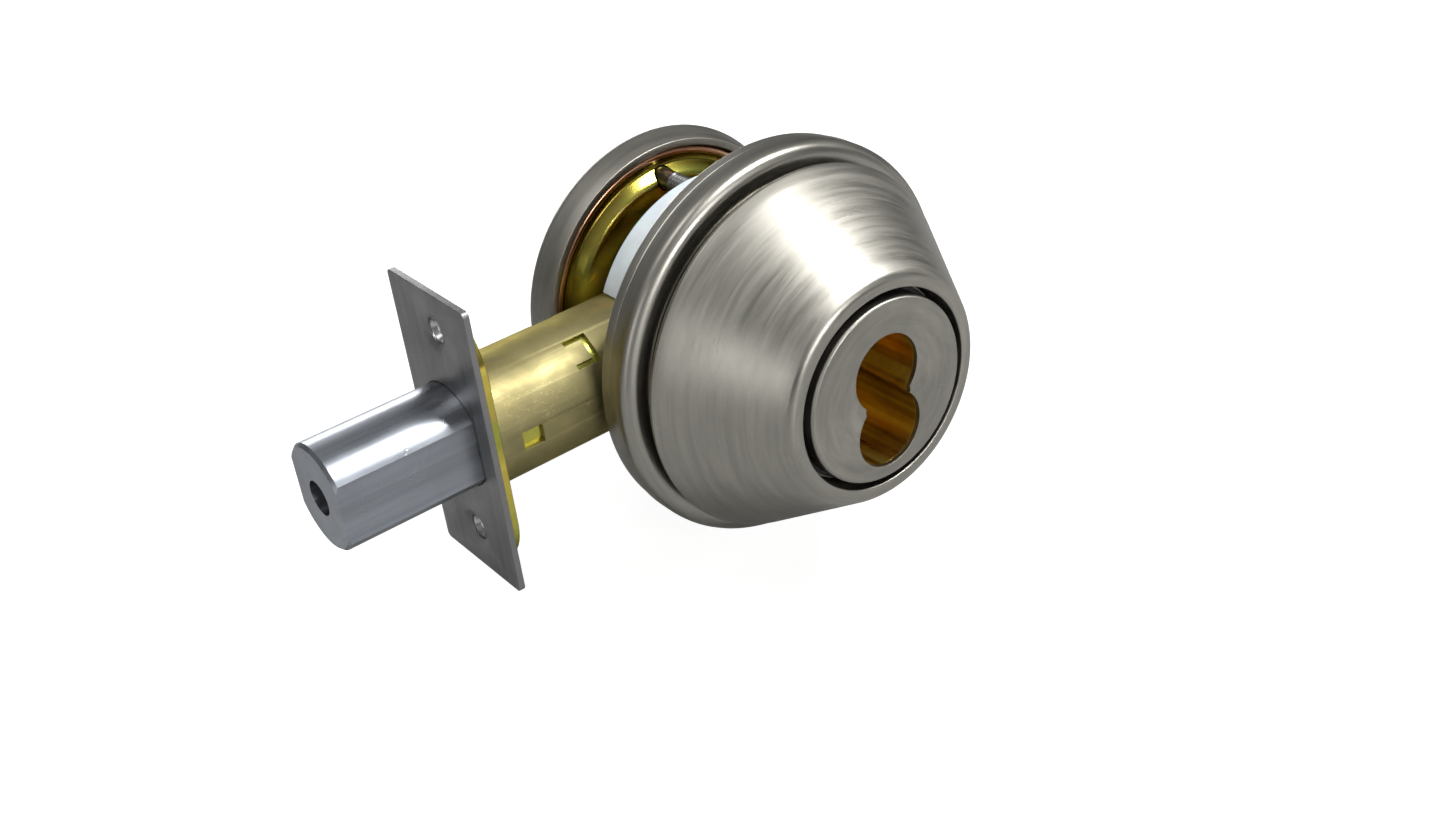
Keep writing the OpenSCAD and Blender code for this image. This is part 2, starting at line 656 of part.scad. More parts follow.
module thumb_knob() color(steel) difference() {
    union() {
        turned_in() {
            band(0, turn_foot_r, turn_y0, turn_y0 + turn_foot_h - turn_foot_round);
            band(0, turn_foot_r - turn_foot_round, turn_y0, turn_y0 + turn_foot_h);
            translate([turn_foot_r - turn_foot_round, turn_y0 + turn_foot_h - turn_foot_round])
                circle(r = turn_foot_round);
        }
        // wing: an oval slab standing along x
        intersection() {
            inward(turn_y0 + wing_foot) linear_extrude(turn_h - wing_foot) {
                square([turn_l - turn_t, turn_t], center = true);
                for (x = [-1, 1]) translate([x * (turn_l - turn_t) / 2, 0]) circle(r = turn_t / 2);
            }
            translate([0, turn_y0 - (wing_r - turn_h), -turn_t]) cylinder(r = wing_r, h = 2 * turn_t);
        }
    }
    rod_in(spindle_r, turn_y0 - eps, turn_y0 + spindle_deep);
    translate([0, set_screw_y, 0]) cylinder(r = set_screw_r, h = turn_foot_r + eps);
}

module knob_set_screw() color(dark) translate([0, set_screw_y, spindle_r - 2 * set_screw_sink])
    cylinder(r = set_screw_r, h = turn_foot_r - spindle_r - set_screw_sink);

faceplate();
backing_plate();
latch_tube();
trim_ring();
bore_sleeve();
cylinder_housing();
face_cap();
collar_washer();
collar_snap_ring();
cam_retainer();
cam_screws();
mounting_plate();
mounting_screws();
inner_rose();
guard_collar();
bolt_head();
hardened_pin();
bolt_tail();
tail_rivets();
hub();
crank_arms();
crank_pin();
tailpiece();
throw_cam();
drive_pins();
thumb_knob();
thumb_spindle();
thumb_clip();
knob_set_screw();
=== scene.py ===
"""Looks of a tubular deadbolt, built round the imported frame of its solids."""

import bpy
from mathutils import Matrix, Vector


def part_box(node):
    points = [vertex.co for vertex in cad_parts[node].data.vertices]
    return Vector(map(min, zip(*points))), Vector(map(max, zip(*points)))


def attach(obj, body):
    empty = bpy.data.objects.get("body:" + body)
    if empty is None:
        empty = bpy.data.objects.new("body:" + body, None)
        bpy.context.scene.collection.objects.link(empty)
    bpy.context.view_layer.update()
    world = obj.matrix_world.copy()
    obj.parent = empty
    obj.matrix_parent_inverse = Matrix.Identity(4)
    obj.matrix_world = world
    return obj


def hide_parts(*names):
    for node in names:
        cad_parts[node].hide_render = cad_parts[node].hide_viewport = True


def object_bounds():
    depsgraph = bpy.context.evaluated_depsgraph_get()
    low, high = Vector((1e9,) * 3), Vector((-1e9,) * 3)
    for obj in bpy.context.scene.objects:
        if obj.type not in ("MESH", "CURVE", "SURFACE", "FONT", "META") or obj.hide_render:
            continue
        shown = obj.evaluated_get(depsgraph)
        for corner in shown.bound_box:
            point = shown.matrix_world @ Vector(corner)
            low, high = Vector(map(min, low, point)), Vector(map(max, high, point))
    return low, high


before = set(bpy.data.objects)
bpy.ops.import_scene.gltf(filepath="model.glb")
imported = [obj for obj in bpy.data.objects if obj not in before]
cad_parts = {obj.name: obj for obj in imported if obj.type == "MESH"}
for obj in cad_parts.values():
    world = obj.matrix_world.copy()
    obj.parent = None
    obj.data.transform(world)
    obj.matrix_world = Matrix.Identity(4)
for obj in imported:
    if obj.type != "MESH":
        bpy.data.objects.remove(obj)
CAD_BOX = [list(c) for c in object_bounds()]

import math

import bmesh
import bpy
from bpy.props import FloatProperty, FloatVectorProperty, IntProperty, PointerProperty
from mathutils import Matrix, Vector

bl_info = {
    "name": "Tubular Deadbolt",
    "version": (1, 0, 0),
    "blender": (4, 5, 0),
    "location": "3D View > Sidebar > Deadbolt",
    "description": "Builds the pieces and finishes of a tubular deadbolt round its frame",
    "category": "Object",
}

MM = 0.001
AIM = (-2.404 * MM, 0, -21.676 * MM)  # where the camera looks
PLATE_SCREW_Z = 20.65 * MM  # the faceplate's countersinks, above and below the bolt's axis
SCREW_HEAD = 3.5 * MM  # radius of a through screw's head


# ---------------------------------------------------------------- settings


def tone(name, about, value):
    return FloatVectorProperty(name=name, description=about, default=value, size=3,
                               min=0.0, max=1.0, subtype="COLOR")


def length(name, about, value, least=0.0, most=0.1):
    return FloatProperty(name=name, description=about, default=value, min=least, max=most,
                         unit="LENGTH", subtype="DISTANCE", precision=5)


class LockTones(bpy.types.PropertyGroup):
    """Base colours of the finishes."""

    satin: tone("Satin steel", "Brushed stainless of the collar, ring and rose", (0.385, 0.37, 0.33))
    plate: tone("Front plate", "Darker brushed steel of the faceplate", (0.28, 0.275, 0.275))
    chrome: tone("Bolt chrome", "Cool satin chrome of the bolt", (0.36, 0.385, 0.425))
    zinc: tone("Yellow zinc", "Gold of the passivated plates", (0.80, 0.64, 0.13))
    zinc_green: tone("Zinc green", "Green cast of the passivated plates", (0.54, 0.56, 0.11))
    zinc_pink: tone("Zinc pink", "Pink cast at the passivated edges", (0.78, 0.40, 0.30))
    olive: tone("Olive zinc", "Matt olive gold of the latch tube", (0.33, 0.29, 0.14))
    brass: tone("Core brass", "Machined brass of the housing", (1.0, 0.66, 0.14))
    milky: tone("Milky plastic", "Bore sleeve and washer", (0.84, 0.86, 0.90))
    pin: tone("Hardened pin", "Heat-tinted steel in the bolt's bore", (0.30, 0.17, 0.17))
    black: tone("Blackened steel", "Snap ring, clip and set screw", (0.035, 0.034, 0.036))


class LockDetail(bpy.types.PropertyGroup):
    """Sizes of the fine detail."""

    segments: IntProperty(name="Turning steps", description="Steps round a turned piece",
                          default=224, min=48, max=360)
    collar_round: length("Collar rounding", "Rounded front edge of the collar", 4.0 * MM)
    thread_pitch: length("Thread pitch", "Pitch of the through screws", 0.8 * MM, 0.3 * MM, 2 * MM)
    thread_depth: length("Thread depth", "Depth of the through screws' thread", 0.28 * MM, 0, 1 * MM)


class LockStage(bpy.types.PropertyGroup):
    """Floor, light and camera."""

    floor_drop: length("Floor drop", "Floor below the lowest point", 9 * MM, 0, 1)
    azimuth: FloatProperty(name="Azimuth", description="Camera azimuth", default=math.radians(-35.272),
                           subtype="ANGLE", unit="ROTATION")
    elevation: FloatProperty(name="Elevation", description="Camera elevation", default=math.radians(31.745),
                             subtype="ANGLE", unit="ROTATION")
    roll: FloatProperty(name="Roll", description="Camera roll", default=math.radians(-6.838),
                        subtype="ANGLE", unit="ROTATION")
    distance: length("Distance", "Camera to its aim point", 329.932 * MM, 0.1, 2)
    lens: FloatProperty(name="Lens", description="Focal length in millimetres",
                        default=41.119, min=10, max=200)
    strength: FloatProperty(name="Light", description="Overall strength of the lamps",
                            default=1.0, min=0, max=10)


# ---------------------------------------------------------------- node shorthand


class Net:
    """Makes and joins nodes in one tree."""

    def __init__(self, tree):
        self.tree = tree

    def put(self, socket, value):
        """Joins value to the socket when it is an output, and sets it when it is a constant."""
        if isinstance(value, bpy.types.NodeSocket):
            self.tree.links.new(value, socket)
        else:
            socket.default_value = value

    def node(self, kind, ins=None, **props):
        made = self.tree.nodes.new(kind)
        for key, value in props.items():
            setattr(made, key, value)
        for key, value in (ins or {}).items():
            self.put(made.inputs[key], value)
        return made

    def math(self, op, a, b=None):
        made = self.node("ShaderNodeMath", operation=op)
        self.put(made.inputs[0], a)
        if b is not None:
            self.put(made.inputs[1], b)
        return made.outputs[0]

    def vector(self, op, a, b=None):
        made = self.node("ShaderNodeVectorMath", operation=op)
        self.put(made.inputs[0], a)
        if b is not None:
            self.put(made.inputs[1], b)
        return made.outputs["Value" if op in ("LENGTH", "DOT_PRODUCT") else "Vector"]

    def blend(self, fac, a, b):
        """Colour a turning into colour b as fac rises."""
        made = self.node("ShaderNodeMix", data_type="RGBA")
        for i, value in ((0, fac), (6, a), (7, b)):
            self.put(made.inputs[i], value)
        return made.outputs[2]

    def spread(self, value, lo, hi, to_lo=0.0, to_hi=1.0):
        """value between lo and hi, mapped to to_lo and to_hi and held there beyond them."""
        made = self.node("ShaderNodeMapRange", {0: value, 1: lo, 2: hi, 3: to_lo, 4: to_hi})
        return made.outputs[0]

    def noise(self, vector, scale, detail=2.0, rough=0.5, w=None, warp=0.0):
        made = self.node("ShaderNodeTexNoise", noise_dimensions="3D" if w is None else "4D")
        for key, value in (("Vector", vector), ("Scale", scale), ("Detail", detail),
                           ("Roughness", rough), ("Distortion", warp)):
            self.put(made.inputs[key], value)
        if w is not None:
            self.put(made.inputs["W"], w)
        return made.outputs[0]


def shader_group(name, ins, outs):
    """A new shader node group with named sockets: its Net, and its inputs' and outputs' sockets."""
    tree = bpy.data.node_groups.new(name, "ShaderNodeTree")
    for side, entries in (("INPUT", ins), ("OUTPUT", outs)):
        for label, kind, *value in entries:
            made = tree.interface.new_socket(name=label, in_out=side, socket_type="NodeSocket" + kind)
            if value:
                made.default_value = value[0]
    return Net(tree), tree.nodes.new("NodeGroupInput").outputs, tree.nodes.new("NodeGroupOutput").inputs


def make_turned_grain():
    """Fine lines cut round the Y axis, closed round the circle."""
    net, ins, outs = shader_group(
        "Turned Grain",
        [("Vector", "Vector"), ("Lines", "Float", 5200.0), ("Arc", "Float", 1.6)],
        [("Height", "Float"), ("Streak", "Float")])
    split = net.node("ShaderNodeSeparateXYZ", {0: ins["Vector"]}).outputs
    x, y, z = split[0], split[1], split[2]
    radius = net.math("MAXIMUM", net.math("SQRT", net.math("ADD", net.math("MULTIPLY", x, x),
                                                           net.math("MULTIPLY", z, z))), 1e-5)
    cos, sin = (net.math("MULTIPLY", net.math("DIVIDE", side, radius), ins["Arc"]) for side in (x, z))
    along = net.node("ShaderNodeCombineXYZ", {
        0: net.math("MULTIPLY", radius, ins["Lines"]), 1: net.math("MULTIPLY", y, ins["Lines"]), 2: cos})
    net.put(outs["Height"], net.noise(along.outputs[0], 1.0, 2.0, 0.6, w=sin))
    broad = net.node("ShaderNodeVectorMath", {0: along.outputs[0], 1: (0.16, 0.16, 1.0)},
                     operation="MULTIPLY")
    net.put(outs["Streak"], net.noise(broad.outputs[0], 1.0, 3.0, 0.65, w=sin))


def make_straight_grain():
    """Fine lines along one direction: the vector is stretched by Stretch first."""
    net, ins, outs = shader_group(
        "Straight Grain",
        [("Vector", "Vector"), ("Stretch", "Vector", (60.0, 4200.0, 4200.0))],
        [("Height", "Float"), ("Streak", "Float")])
    fine = net.vector("MULTIPLY", ins["Vector"], ins["Stretch"])
    broad = net.vector("MULTIPLY", fine, (0.14, 0.14, 0.14))
    net.put(outs["Height"], net.noise(fine, 1.0, 2.0, 0.6))
    net.put(outs["Streak"], net.noise(broad, 1.0, 3.0, 0.6))


def make_handling():
    """Smudges, small scratches and pits that handling leaves."""
    net, ins, outs = shader_group(
        "Handling",
        [("Vector", "Vector"), ("Smudge Scale", "Float", 60.0), ("Pit Scale", "Float", 700.0)],
        [("Smudge", "Float"), ("Pits", "Float"), ("Scratch", "Float")])
    smudge = net.noise(ins["Vector"], ins["Smudge Scale"], 4.0, 0.6, warp=0.6)
    net.put(outs["Smudge"], net.spread(smudge, 0.38, 0.66))
    cells = net.node("ShaderNodeTexVoronoi", {"Vector": ins["Vector"], "Scale": ins["Pit Scale"]})
    spots = net.spread(cells.outputs["Distance"], 0.10, 0.16, 1.0, 0.0)
    rare = net.spread(net.noise(ins["Vector"], 160.0, 1.0), 0.60, 0.66)
    net.put(outs["Pits"], net.math("MULTIPLY", spots, rare))
    bent = net.vector("ADD", net.vector("MULTIPLY", ins["Vector"], (90.0, 900.0, 420.0)),
                      net.vector("MULTIPLY", ins["Vector"], (300.0, 0.0, 40.0)))
    lines = net.math("ABSOLUTE", net.math("SUBTRACT", net.noise(bent, 1.0, 1.0, 0.5, warp=0.4), 0.5))
    few = net.spread(net.noise(ins["Vector"], 95.0, 1.0), 0.56, 0.64)
    net.put(outs["Scratch"], net.math("MULTIPLY", net.spread(lines, 0.0, 0.012, 1.0, 0.0), few))


def make_passivate():
    """Cloudy colours of a passivated zinc skin."""
    net, ins, outs = shader_group(
        "Passivate",
        [("Vector", "Vector"), ("Gold", "Color", (0.6, 0.5, 0.15, 1)),
         ("Green", "Color", (0.4, 0.45, 0.1, 1)),
         ("Pink", "Color", (0.65, 0.3, 0.25, 1)),
         ("Cloud Scale", "Float", 55.0), ("Pink Share", "Float", 0.6)],
        [("Color", "Color"), ("Cloud", "Float")])
    cloud = net.noise(ins["Vector"], ins["Cloud Scale"], 3.0, 0.55, warp=0.8)
    other = net.noise(net.vector("ADD", ins["Vector"], (0.37, 0.11, 0.73)),
                      ins["Cloud Scale"], 2.0, 0.5, warp=1.2)
    base = net.blend(net.spread(cloud, 0.40, 0.62), ins["Gold"], ins["Green"])
    pink = net.math("MULTIPLY", net.spread(other, 0.55, 0.70), ins["Pink Share"])
    net.put(outs["Color"], net.blend(pink, base, ins["Pink"]))
    net.put(outs["Cloud"], cloud)


# ---------------------------------------------------------------- finishes


def rgba(colour, k=1.0):
    """colour times k, clipped at white, with its fourth channel."""
    return (*[min(1.0, c * k) for c in colour], 1.0)


class Finish:
    """One material: object coordinates, groups, and the shader they feed."""

    def __init__(self, name, metallic=1.0, **constants):
        self.mat = bpy.data.materials.new("lock_" + name)
        self.mat.use_nodes = True
        self.net = Net(self.mat.node_tree)
        self.shader = self.mat.node_tree.nodes["Principled BSDF"]
        self.shader.inputs["Metallic"].default_value = metallic
        for key, value in constants.items():
            self.shader.inputs[key.replace("_", " ")].default_value = value
        self.place = self.net.node("ShaderNodeTexCoord").outputs["Object"]

    def group(self, name, **ins):
        """A shader group's outputs, fed with the object's coordinates and the named inputs."""
        made = self.net.node("ShaderNodeGroup", node_tree=bpy.data.node_groups[name])
        self.net.put(made.inputs["Vector"], self.place)
        for key, value in ins.items():
            self.net.put(made.inputs[key.replace("_", " ")], value)
        return made.outputs

    def close(self, colour, rough, *heights):
        """heights are (height, depth in metres) pairs, stacked as bumps."""
        self.net.put(self.shader.inputs["Base Color"], colour)
        self.net.put(self.shader.inputs["Roughness"], rough)
        normal = None
        for height, depth in heights:
            bump = self.net.node("ShaderNodeBump", {"Height": height, "Distance": depth, "Strength": 1.0})
            if normal is not None:
                self.net.put(bump.inputs["Normal"], normal)
            normal = bump.outputs[0]
        if normal is not None:
            self.net.put(self.shader.inputs["Normal"], normal)
        return self.mat


def satin_turned(name, colour, lines=5200.0, rough=0.34, deep=0.006 * MM):
    """Satin metal with its fine lines cut round the Y axis."""
    f = Finish(name, Anisotropic=0.55)
    f.net.put(f.shader.inputs["Tangent"],
              f.net.node("ShaderNodeTangent", direction_type="RADIAL", axis="Y").outputs[0])
    grain, hand = f.group("Turned Grain", Lines=lines), f.group("Handling", Smudge_Scale=48.0)
    net = f.net
    streaked = net.blend(net.spread(grain["Streak"], 0.36, 0.66), rgba(colour, 0.86), rgba(colour, 1.10))
    dulled = net.blend(net.math("MULTIPLY", hand["Smudge"], 0.22), streaked, rgba(colour, 0.74))
    tint = net.blend(net.math("MULTIPLY", hand["Scratch"], 0.35), dulled, rgba(colour, 1.45))
    level = net.math("ADD", net.spread(grain["Streak"], 0.3, 0.7, rough - 0.05, rough + 0.06),
                     net.math("MULTIPLY", hand["Smudge"], 0.05))
    return f.close(tint, level, (grain["Height"], deep), (hand["Scratch"], -0.004 * MM))


def satin_straight(name, colour, stretch, rough=0.36, deep=0.005 * MM, pits=0.3):
    """Satin metal with its fine lines along the axis that stretch leaves longest."""
    f = Finish(name)
    grain, hand = f.group("Straight Grain", Stretch=stretch), f.group("Handling", Smudge_Scale=70.0)
    net = f.net
    streaked = net.blend(net.spread(grain["Streak"], 0.36, 0.66), rgba(colour, 0.84), rgba(colour, 1.14))
    dulled = net.blend(net.math("MULTIPLY", hand["Smudge"], 0.3), streaked, rgba(colour, 0.68))
    pitted = net.blend(net.math("MULTIPLY", hand["Pits"], pits), dulled, rgba(colour, 0.35))
    tint = net.blend(net.math("MULTIPLY", hand["Scratch"], 0.4), pitted, rgba(colour, 1.5))
    level = net.math("ADD", net.spread(grain["Streak"], 0.3, 0.7, rough - 0.06, rough + 0.08),
                     net.math("MULTIPLY", hand["Smudge"], 0.08))
    return f.close(tint, level, (grain["Height"], deep), (hand["Pits"], -0.02 * MM))


def yellow_zinc(name, t, rough=0.20, share=0.55, lip=None):
    """lip is the outer radius in metres of a turned plate: its edge is pink, and the valley inside it is
    darkened with painted shade.
    """
    f = Finish(name, Specular_Tint=rgba((0.90, 0.80, 0.45)))
    skin = f.group("Passivate", Gold=rgba(t.zinc), Green=rgba(t.zinc_green), Pink=rgba(t.zinc_pink),
                   Cloud_Scale=70.0, Pink_Share=share)
    hand = f.group("Handling", Smudge_Scale=90.0)
    net = f.net
    tint = net.blend(net.math("MULTIPLY", hand["Smudge"], 0.45), skin["Color"], rgba(t.zinc_green, 0.5))
    if lip:
        from_axis = net.vector("LENGTH", net.vector("MULTIPLY", f.place, (1.0, 0.0, 1.0)))
        wander = net.math("ADD", from_axis, net.spread(skin["Cloud"], 0.3, 0.7, -0.0003, 0.0003))
        # painted shade: the valley between the lip and the rib is darkened towards dark brown
        valley = net.math("MULTIPLY", net.spread(wander, lip - 0.0046, lip - 0.0030),
                          net.spread(wander, lip - 0.0014, lip - 0.0009, 1.0, 0.0))
        tint = net.blend(net.math("MULTIPLY", valley, 0.8), tint, rgba((0.20, 0.14, 0.02)))
        tint = net.blend(net.math("MULTIPLY", net.spread(wander, lip - 0.0013, lip - 0.0008), 0.85), tint,
                         rgba(t.zinc_pink, 0.9))
        inner = net.spread(wander, lip - 0.0115, lip - 0.0098, 1.0, 0.0)
        tint = net.blend(net.math("MULTIPLY", inner, 0.7), tint, rgba(t.zinc_pink, 0.7))
    level = net.spread(skin["Cloud"], 0.3, 0.7, rough - 0.05, rough + 0.1)
    return f.close(tint, level, (f.net.noise(f.place, 900.0, 3.0, 0.6), 0.006 * MM),
                   (hand["Pits"], -0.02 * MM))


def olive_zinc(name, t):
    f = Finish(name, metallic=0.92, Specular_Tint=rgba((0.72, 0.66, 0.36)))
    skin = f.group("Passivate", Gold=rgba(t.olive, 1.06), Green=rgba(t.olive, 0.84),
                   Pink=rgba((t.olive[0] * 1.25, t.olive[1] * 1.1, t.olive[2] * 0.9)),
                   Cloud_Scale=95.0, Pink_Share=0.45)
    grain = f.group("Straight Grain", Stretch=(90.0, 1500.0, 1500.0))
    hand = f.group("Handling", Smudge_Scale=120.0)
    net = f.net
    wiped = net.blend(net.math("MULTIPLY", hand["Smudge"], 0.30), skin["Color"], rgba(t.olive, 0.62))
    tint = net.blend(net.math("MULTIPLY", hand["Scratch"], 0.5), wiped, rgba(t.olive, 1.7))
    level = net.math("ADD", net.spread(grain["Streak"], 0.3, 0.7, 0.45, 0.56),
                     net.math("MULTIPLY", hand["Smudge"], 0.1))
    return f.close(tint, level, (f.net.noise(f.place, 1400.0, 3.0, 0.65), 0.014 * MM),
                   (grain["Height"], 0.004 * MM))


def core_brass(name, t):
    f = Finish(name, Specular_Tint=rgba((1.0, 0.70, 0.22)))
    grain = f.group("Straight Grain", Stretch=(1900.0, 45.0, 1900.0))
    hand = f.group("Handling", Smudge_Scale=130.0)
    net = f.net
    bands = net.blend(net.spread(grain["Streak"], 0.40, 0.62), rgba(t.brass, 0.62), rgba(t.brass, 1.3))
    tint = net.blend(net.math("MULTIPLY", hand["Smudge"], 0.25), bands, rgba((0.40, 0.17, 0.02)))
    level = net.spread(grain["Streak"], 0.3, 0.7, 0.24, 0.40)
    return f.close(tint, level, (grain["Height"], 0.012 * MM), (hand["Pits"], -0.02 * MM))


def milky_plastic(name, t):
    f = Finish(name, metallic=0.0, Subsurface_Weight=0.35, Subsurface_Scale=0.004, Specular_IOR_Level=0.45)
    hand = f.group("Handling", Smudge_Scale=80.0)
    cloud = f.net.noise(f.place, 220.0, 2.0)
    tint = f.net.blend(f.net.spread(cloud, 0.3, 0.7), rgba(t.milky, 0.92), rgba(t.milky, 1.04))
    level = f.net.math("ADD", f.net.math("MULTIPLY", hand["Smudge"], 0.12), 0.38)
    return f.close(tint, level, (f.net.noise(f.place, 1100.0, 2.0), 0.01 * MM))


def blackened(name, t):
    f = Finish(name, metallic=0.8)
    hand = f.group("Handling", Smudge_Scale=150.0)
    worn = f.net.blend(hand["Smudge"], rgba(t.black, 0.8), rgba(t.black, 2.4))
    return f.close(worn, f.net.spread(hand["Smudge"], 0.0, 1.0, 0.34, 0.52),
                   (f.net.noise(f.place, 1600.0, 2.0), 0.008 * MM))


# ---------------------------------------------------------------- meshes


def linked(name, data):
    """A new object that shows data, linked to the scene."""
    obj = bpy.data.objects.new(name, data)
    bpy.context.scene.collection.objects.link(obj)
    return obj


def plain_mesh(mesh, name, body, slot, finish, *nodes):
    """Shows mesh as a piece that rides on body and stands for the CAD nodes."""
    piece = linked(name, mesh)
    mesh.materials.clear()
    mesh.materials.append(bpy.data.materials["lock_" + finish])
    for face in mesh.polygons:
        face.material_index = 0
    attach(piece, body)
    if nodes:
        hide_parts(*nodes)
    return piece


def frozen(obj, name):
    """The evaluated shape of obj as a plain mesh, and obj is removed."""
    graph = bpy.context.evaluated_depsgraph_get()
    graph.update()
    mesh = bpy.data.meshes.new_from_object(obj.evaluated_get(graph), depsgraph=graph)
    mesh.name = name
    bpy.data.objects.remove(obj)
    return mesh


def softened(node, width, steps=2, angle=28.0):
    """A copy of a CAD node's mesh, welded, with its sharp edges broken."""
    bm = bmesh.new()
    bm.from_mesh(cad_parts[node].data)
    bmesh.ops.remove_doubles(bm, verts=bm.verts, dist=1e-6)
    bmesh.ops.dissolve_degenerate(bm, edges=bm.edges, dist=1e-6)
    bmesh.ops.dissolve_limit(bm, angle_limit=math.radians(0.6), verts=bm.verts, edges=bm.edges)
    mesh = bpy.data.meshes.new(node + "_work")
    bm.to_mesh(mesh)
    bm.free()
    mesh.shade_smooth()
    mesh.set_sharp_from_angle(angle=math.radians(angle))
    work = linked(node + "_work", mesh)
    edge = work.modifiers.new("edge break", "BEVEL")
    edge.width, edge.segments, edge.limit_method = width, steps, "ANGLE"
    edge.angle_limit, edge.use_clamp_overlap, edge.harden_normals = math.radians(angle), True, True
    edge.miter_outer = "MITER_ARC"
    return frozen(work, node + "_shape")


def soft_piece(node, body, slot, finish, width, steps=2, angle=28.0):
    """Shows a CAD node's own shape, its edges broken by width, in the node's place."""
    return plain_mesh(softened(node, width, steps, angle), node + "_look", body, slot, finish, node)


def rounded_loop(corners, steps=7):
    """A closed outline from (radius, height, rounding) corners in millimetres, as points in metres."""
    out, n = [], len(corners)
    for i, (r, h, k) in enumerate(corners):
        here = Vector((r, h))
        back = Vector(corners[i - 1][:2]) - here
        on = Vector(corners[(i + 1) % n][:2]) - here
        turn = math.pi - back.angle(on)
        if k <= 0 or turn < 1e-3:
            out.append(here)
            continue
        reach = min(k * math.tan(turn / 2), 0.49 * back.length, 0.49 * on.length)
        k = reach / math.tan(turn / 2)
        middle = here + (back.normalized() + on.normalized()).normalized() * (k / math.cos(turn / 2))
        start = here + back.normalized() * reach - middle
        side = 1.0 if start.x * (here - middle).y - start.y * (here - middle).x > 0 else -1.0
        count = max(2, round(steps * turn / (math.pi / 2) * min(1.0, 0.45 + k / 2.0)))
        for j in range(count + 1):
            a = side * turn * j / count
            out.append(middle + Vector((start.x * math.cos(a) - start.y * math.sin(a),
                                        start.x * math.sin(a) + start.y * math.cos(a))))
    return [p * MM for p in out]


def sampled_line(points, most):
    """The same closed outline with no gap longer than most metres."""
    out = []
    for i, p in enumerate(points):
        q = points[(i + 1) % len(points)]
        count = max(1, math.ceil((q - p).length / most))
        out += [p.lerp(q, j / count) for j in range(count)]
    return out


def make_turning_tree():
    """Geometry nodes: turns an outline, given as a row of points, round the Y axis.
    The outline's points hold (radius, height towards -Y, 0). A thread can be cut where wanted."""
    tree = bpy.data.node_groups.new("Turn On Y", "GeometryNodeTree")
    face = tree.interface
    face.new_socket(name="Geometry", in_out="OUTPUT", socket_type="NodeSocketGeometry")
    for label, kind, value in (("Geometry", "Geometry", None), ("Points", "Int", 8), ("Steps", "Int", 96),
                               ("Pitch", "Float", 0.0008), ("Thread Depth", "Float", 0.0),
                               ("Thread Start", "Float", -1.0), ("Thread End", "Float", 1.0),
                               ("Finish", "Material", None)):
        made = face.new_socket(name=label, in_out="INPUT", socket_type="NodeSocket" + kind)
        if value is not None:
            made.default_value = value
    net = Net(tree)
    ins = net.node("NodeGroupInput").outputs
    outs = net.node("NodeGroupOutput").inputs
    columns = net.math("ADD", ins["Steps"], 1.0)
    rows = net.math("ADD", ins["Points"], 1.0)
    grid = net.node("GeometryNodeMeshGrid", {"Vertices X": columns, "Vertices Y": rows})
    index = net.node("GeometryNodeInputIndex").outputs[0]
    column = net.math("FLOOR", net.math("DIVIDE", net.math("ADD", index, 0.5), rows))
    row = net.math("SUBTRACT", index, net.math("MULTIPLY", column, rows))
    wrapped = net.math("MODULO", net.math("ADD", row, 0.25), ins["Points"])
    place = net.node("GeometryNodeInputPosition").outputs[0]
    pick = net.node("GeometryNodeSampleIndex", {"Geometry": ins["Geometry"]},
                    data_type="FLOAT_VECTOR", domain="POINT")
    net.put(pick.inputs["Value"], place)
    net.put(pick.inputs["Index"], net.math("FLOOR", wrapped))
    at = net.node("ShaderNodeSeparateXYZ", {0: pick.outputs[0]}).outputs
    angle = net.math("DIVIDE", net.math("MULTIPLY", column, math.tau), ins["Steps"])
    wave = net.math("FRACT", net.math("ADD", net.math("DIVIDE", at[1], ins["Pitch"]),
                                      net.math("DIVIDE", angle, math.tau)))
    ridge = net.math("MULTIPLY", net.math("ABSOLUTE", net.math("SUBTRACT", wave, 0.5)), 2.0)
    inside = net.math("MULTIPLY", net.math("GREATER_THAN", at[1], ins["Thread Start"]),
                      net.math("LESS_THAN", at[1], ins["Thread End"]))
    cut = net.math("MULTIPLY", net.math("MULTIPLY", ridge, ins["Thread Depth"]), inside)
    radius = net.math("MAXIMUM", net.math("SUBTRACT", at[0], cut), 0.0)
    moved = net.node("ShaderNodeCombineXYZ", {
        0: net.math("MULTIPLY", radius, net.math("COSINE", angle)),
        1: net.math("MULTIPLY", at[1], -1.0),
        2: net.math("MULTIPLY", radius, net.math("SINE", angle))})
    put = net.node("GeometryNodeSetPosition", {"Geometry": grid.outputs[0], "Position": moved.outputs[0]})
    weld = net.node("GeometryNodeMergeByDistance", {"Geometry": put.outputs[0], "Distance": 2e-7})
    real = net.node("GeometryNodeRealizeInstances", {"Geometry": weld.outputs[0]})
    done = net.node("GeometryNodeSetMaterial", {"Geometry": real.outputs[0], "Material": ins["Finish"]})
    net.put(outs["Geometry"], done.outputs[0])


def make_repeat_tree():
    """Geometry nodes: sets one shape on every point of a row of places."""
    tree = bpy.data.node_groups.new("Set On Places", "GeometryNodeTree")
    face = tree.interface
    face.new_socket(name="Geometry", in_out="OUTPUT", socket_type="NodeSocketGeometry")
    for label, kind in (("Geometry", "Geometry"), ("Shape", "Object"), ("Finish", "Material")):
        face.new_socket(name=label, in_out="INPUT", socket_type="NodeSocket" + kind)
    net = Net(tree)
    ins = net.node("NodeGroupInput").outputs
    outs = net.node("NodeGroupOutput").inputs
    shape = net.node("GeometryNodeObjectInfo", {"Object": ins["Shape"]})
    set_on = net.node("GeometryNodeInstanceOnPoints", {
        "Points": ins["Geometry"], "Instance": shape.outputs["Geometry"]})
    real = net.node("GeometryNodeRealizeInstances", {"Geometry": set_on.outputs[0]})
    done = net.node("GeometryNodeSetMaterial", {"Geometry": real.outputs[0], "Material": ins["Finish"]})
    net.put(outs["Geometry"], done.outputs[0])


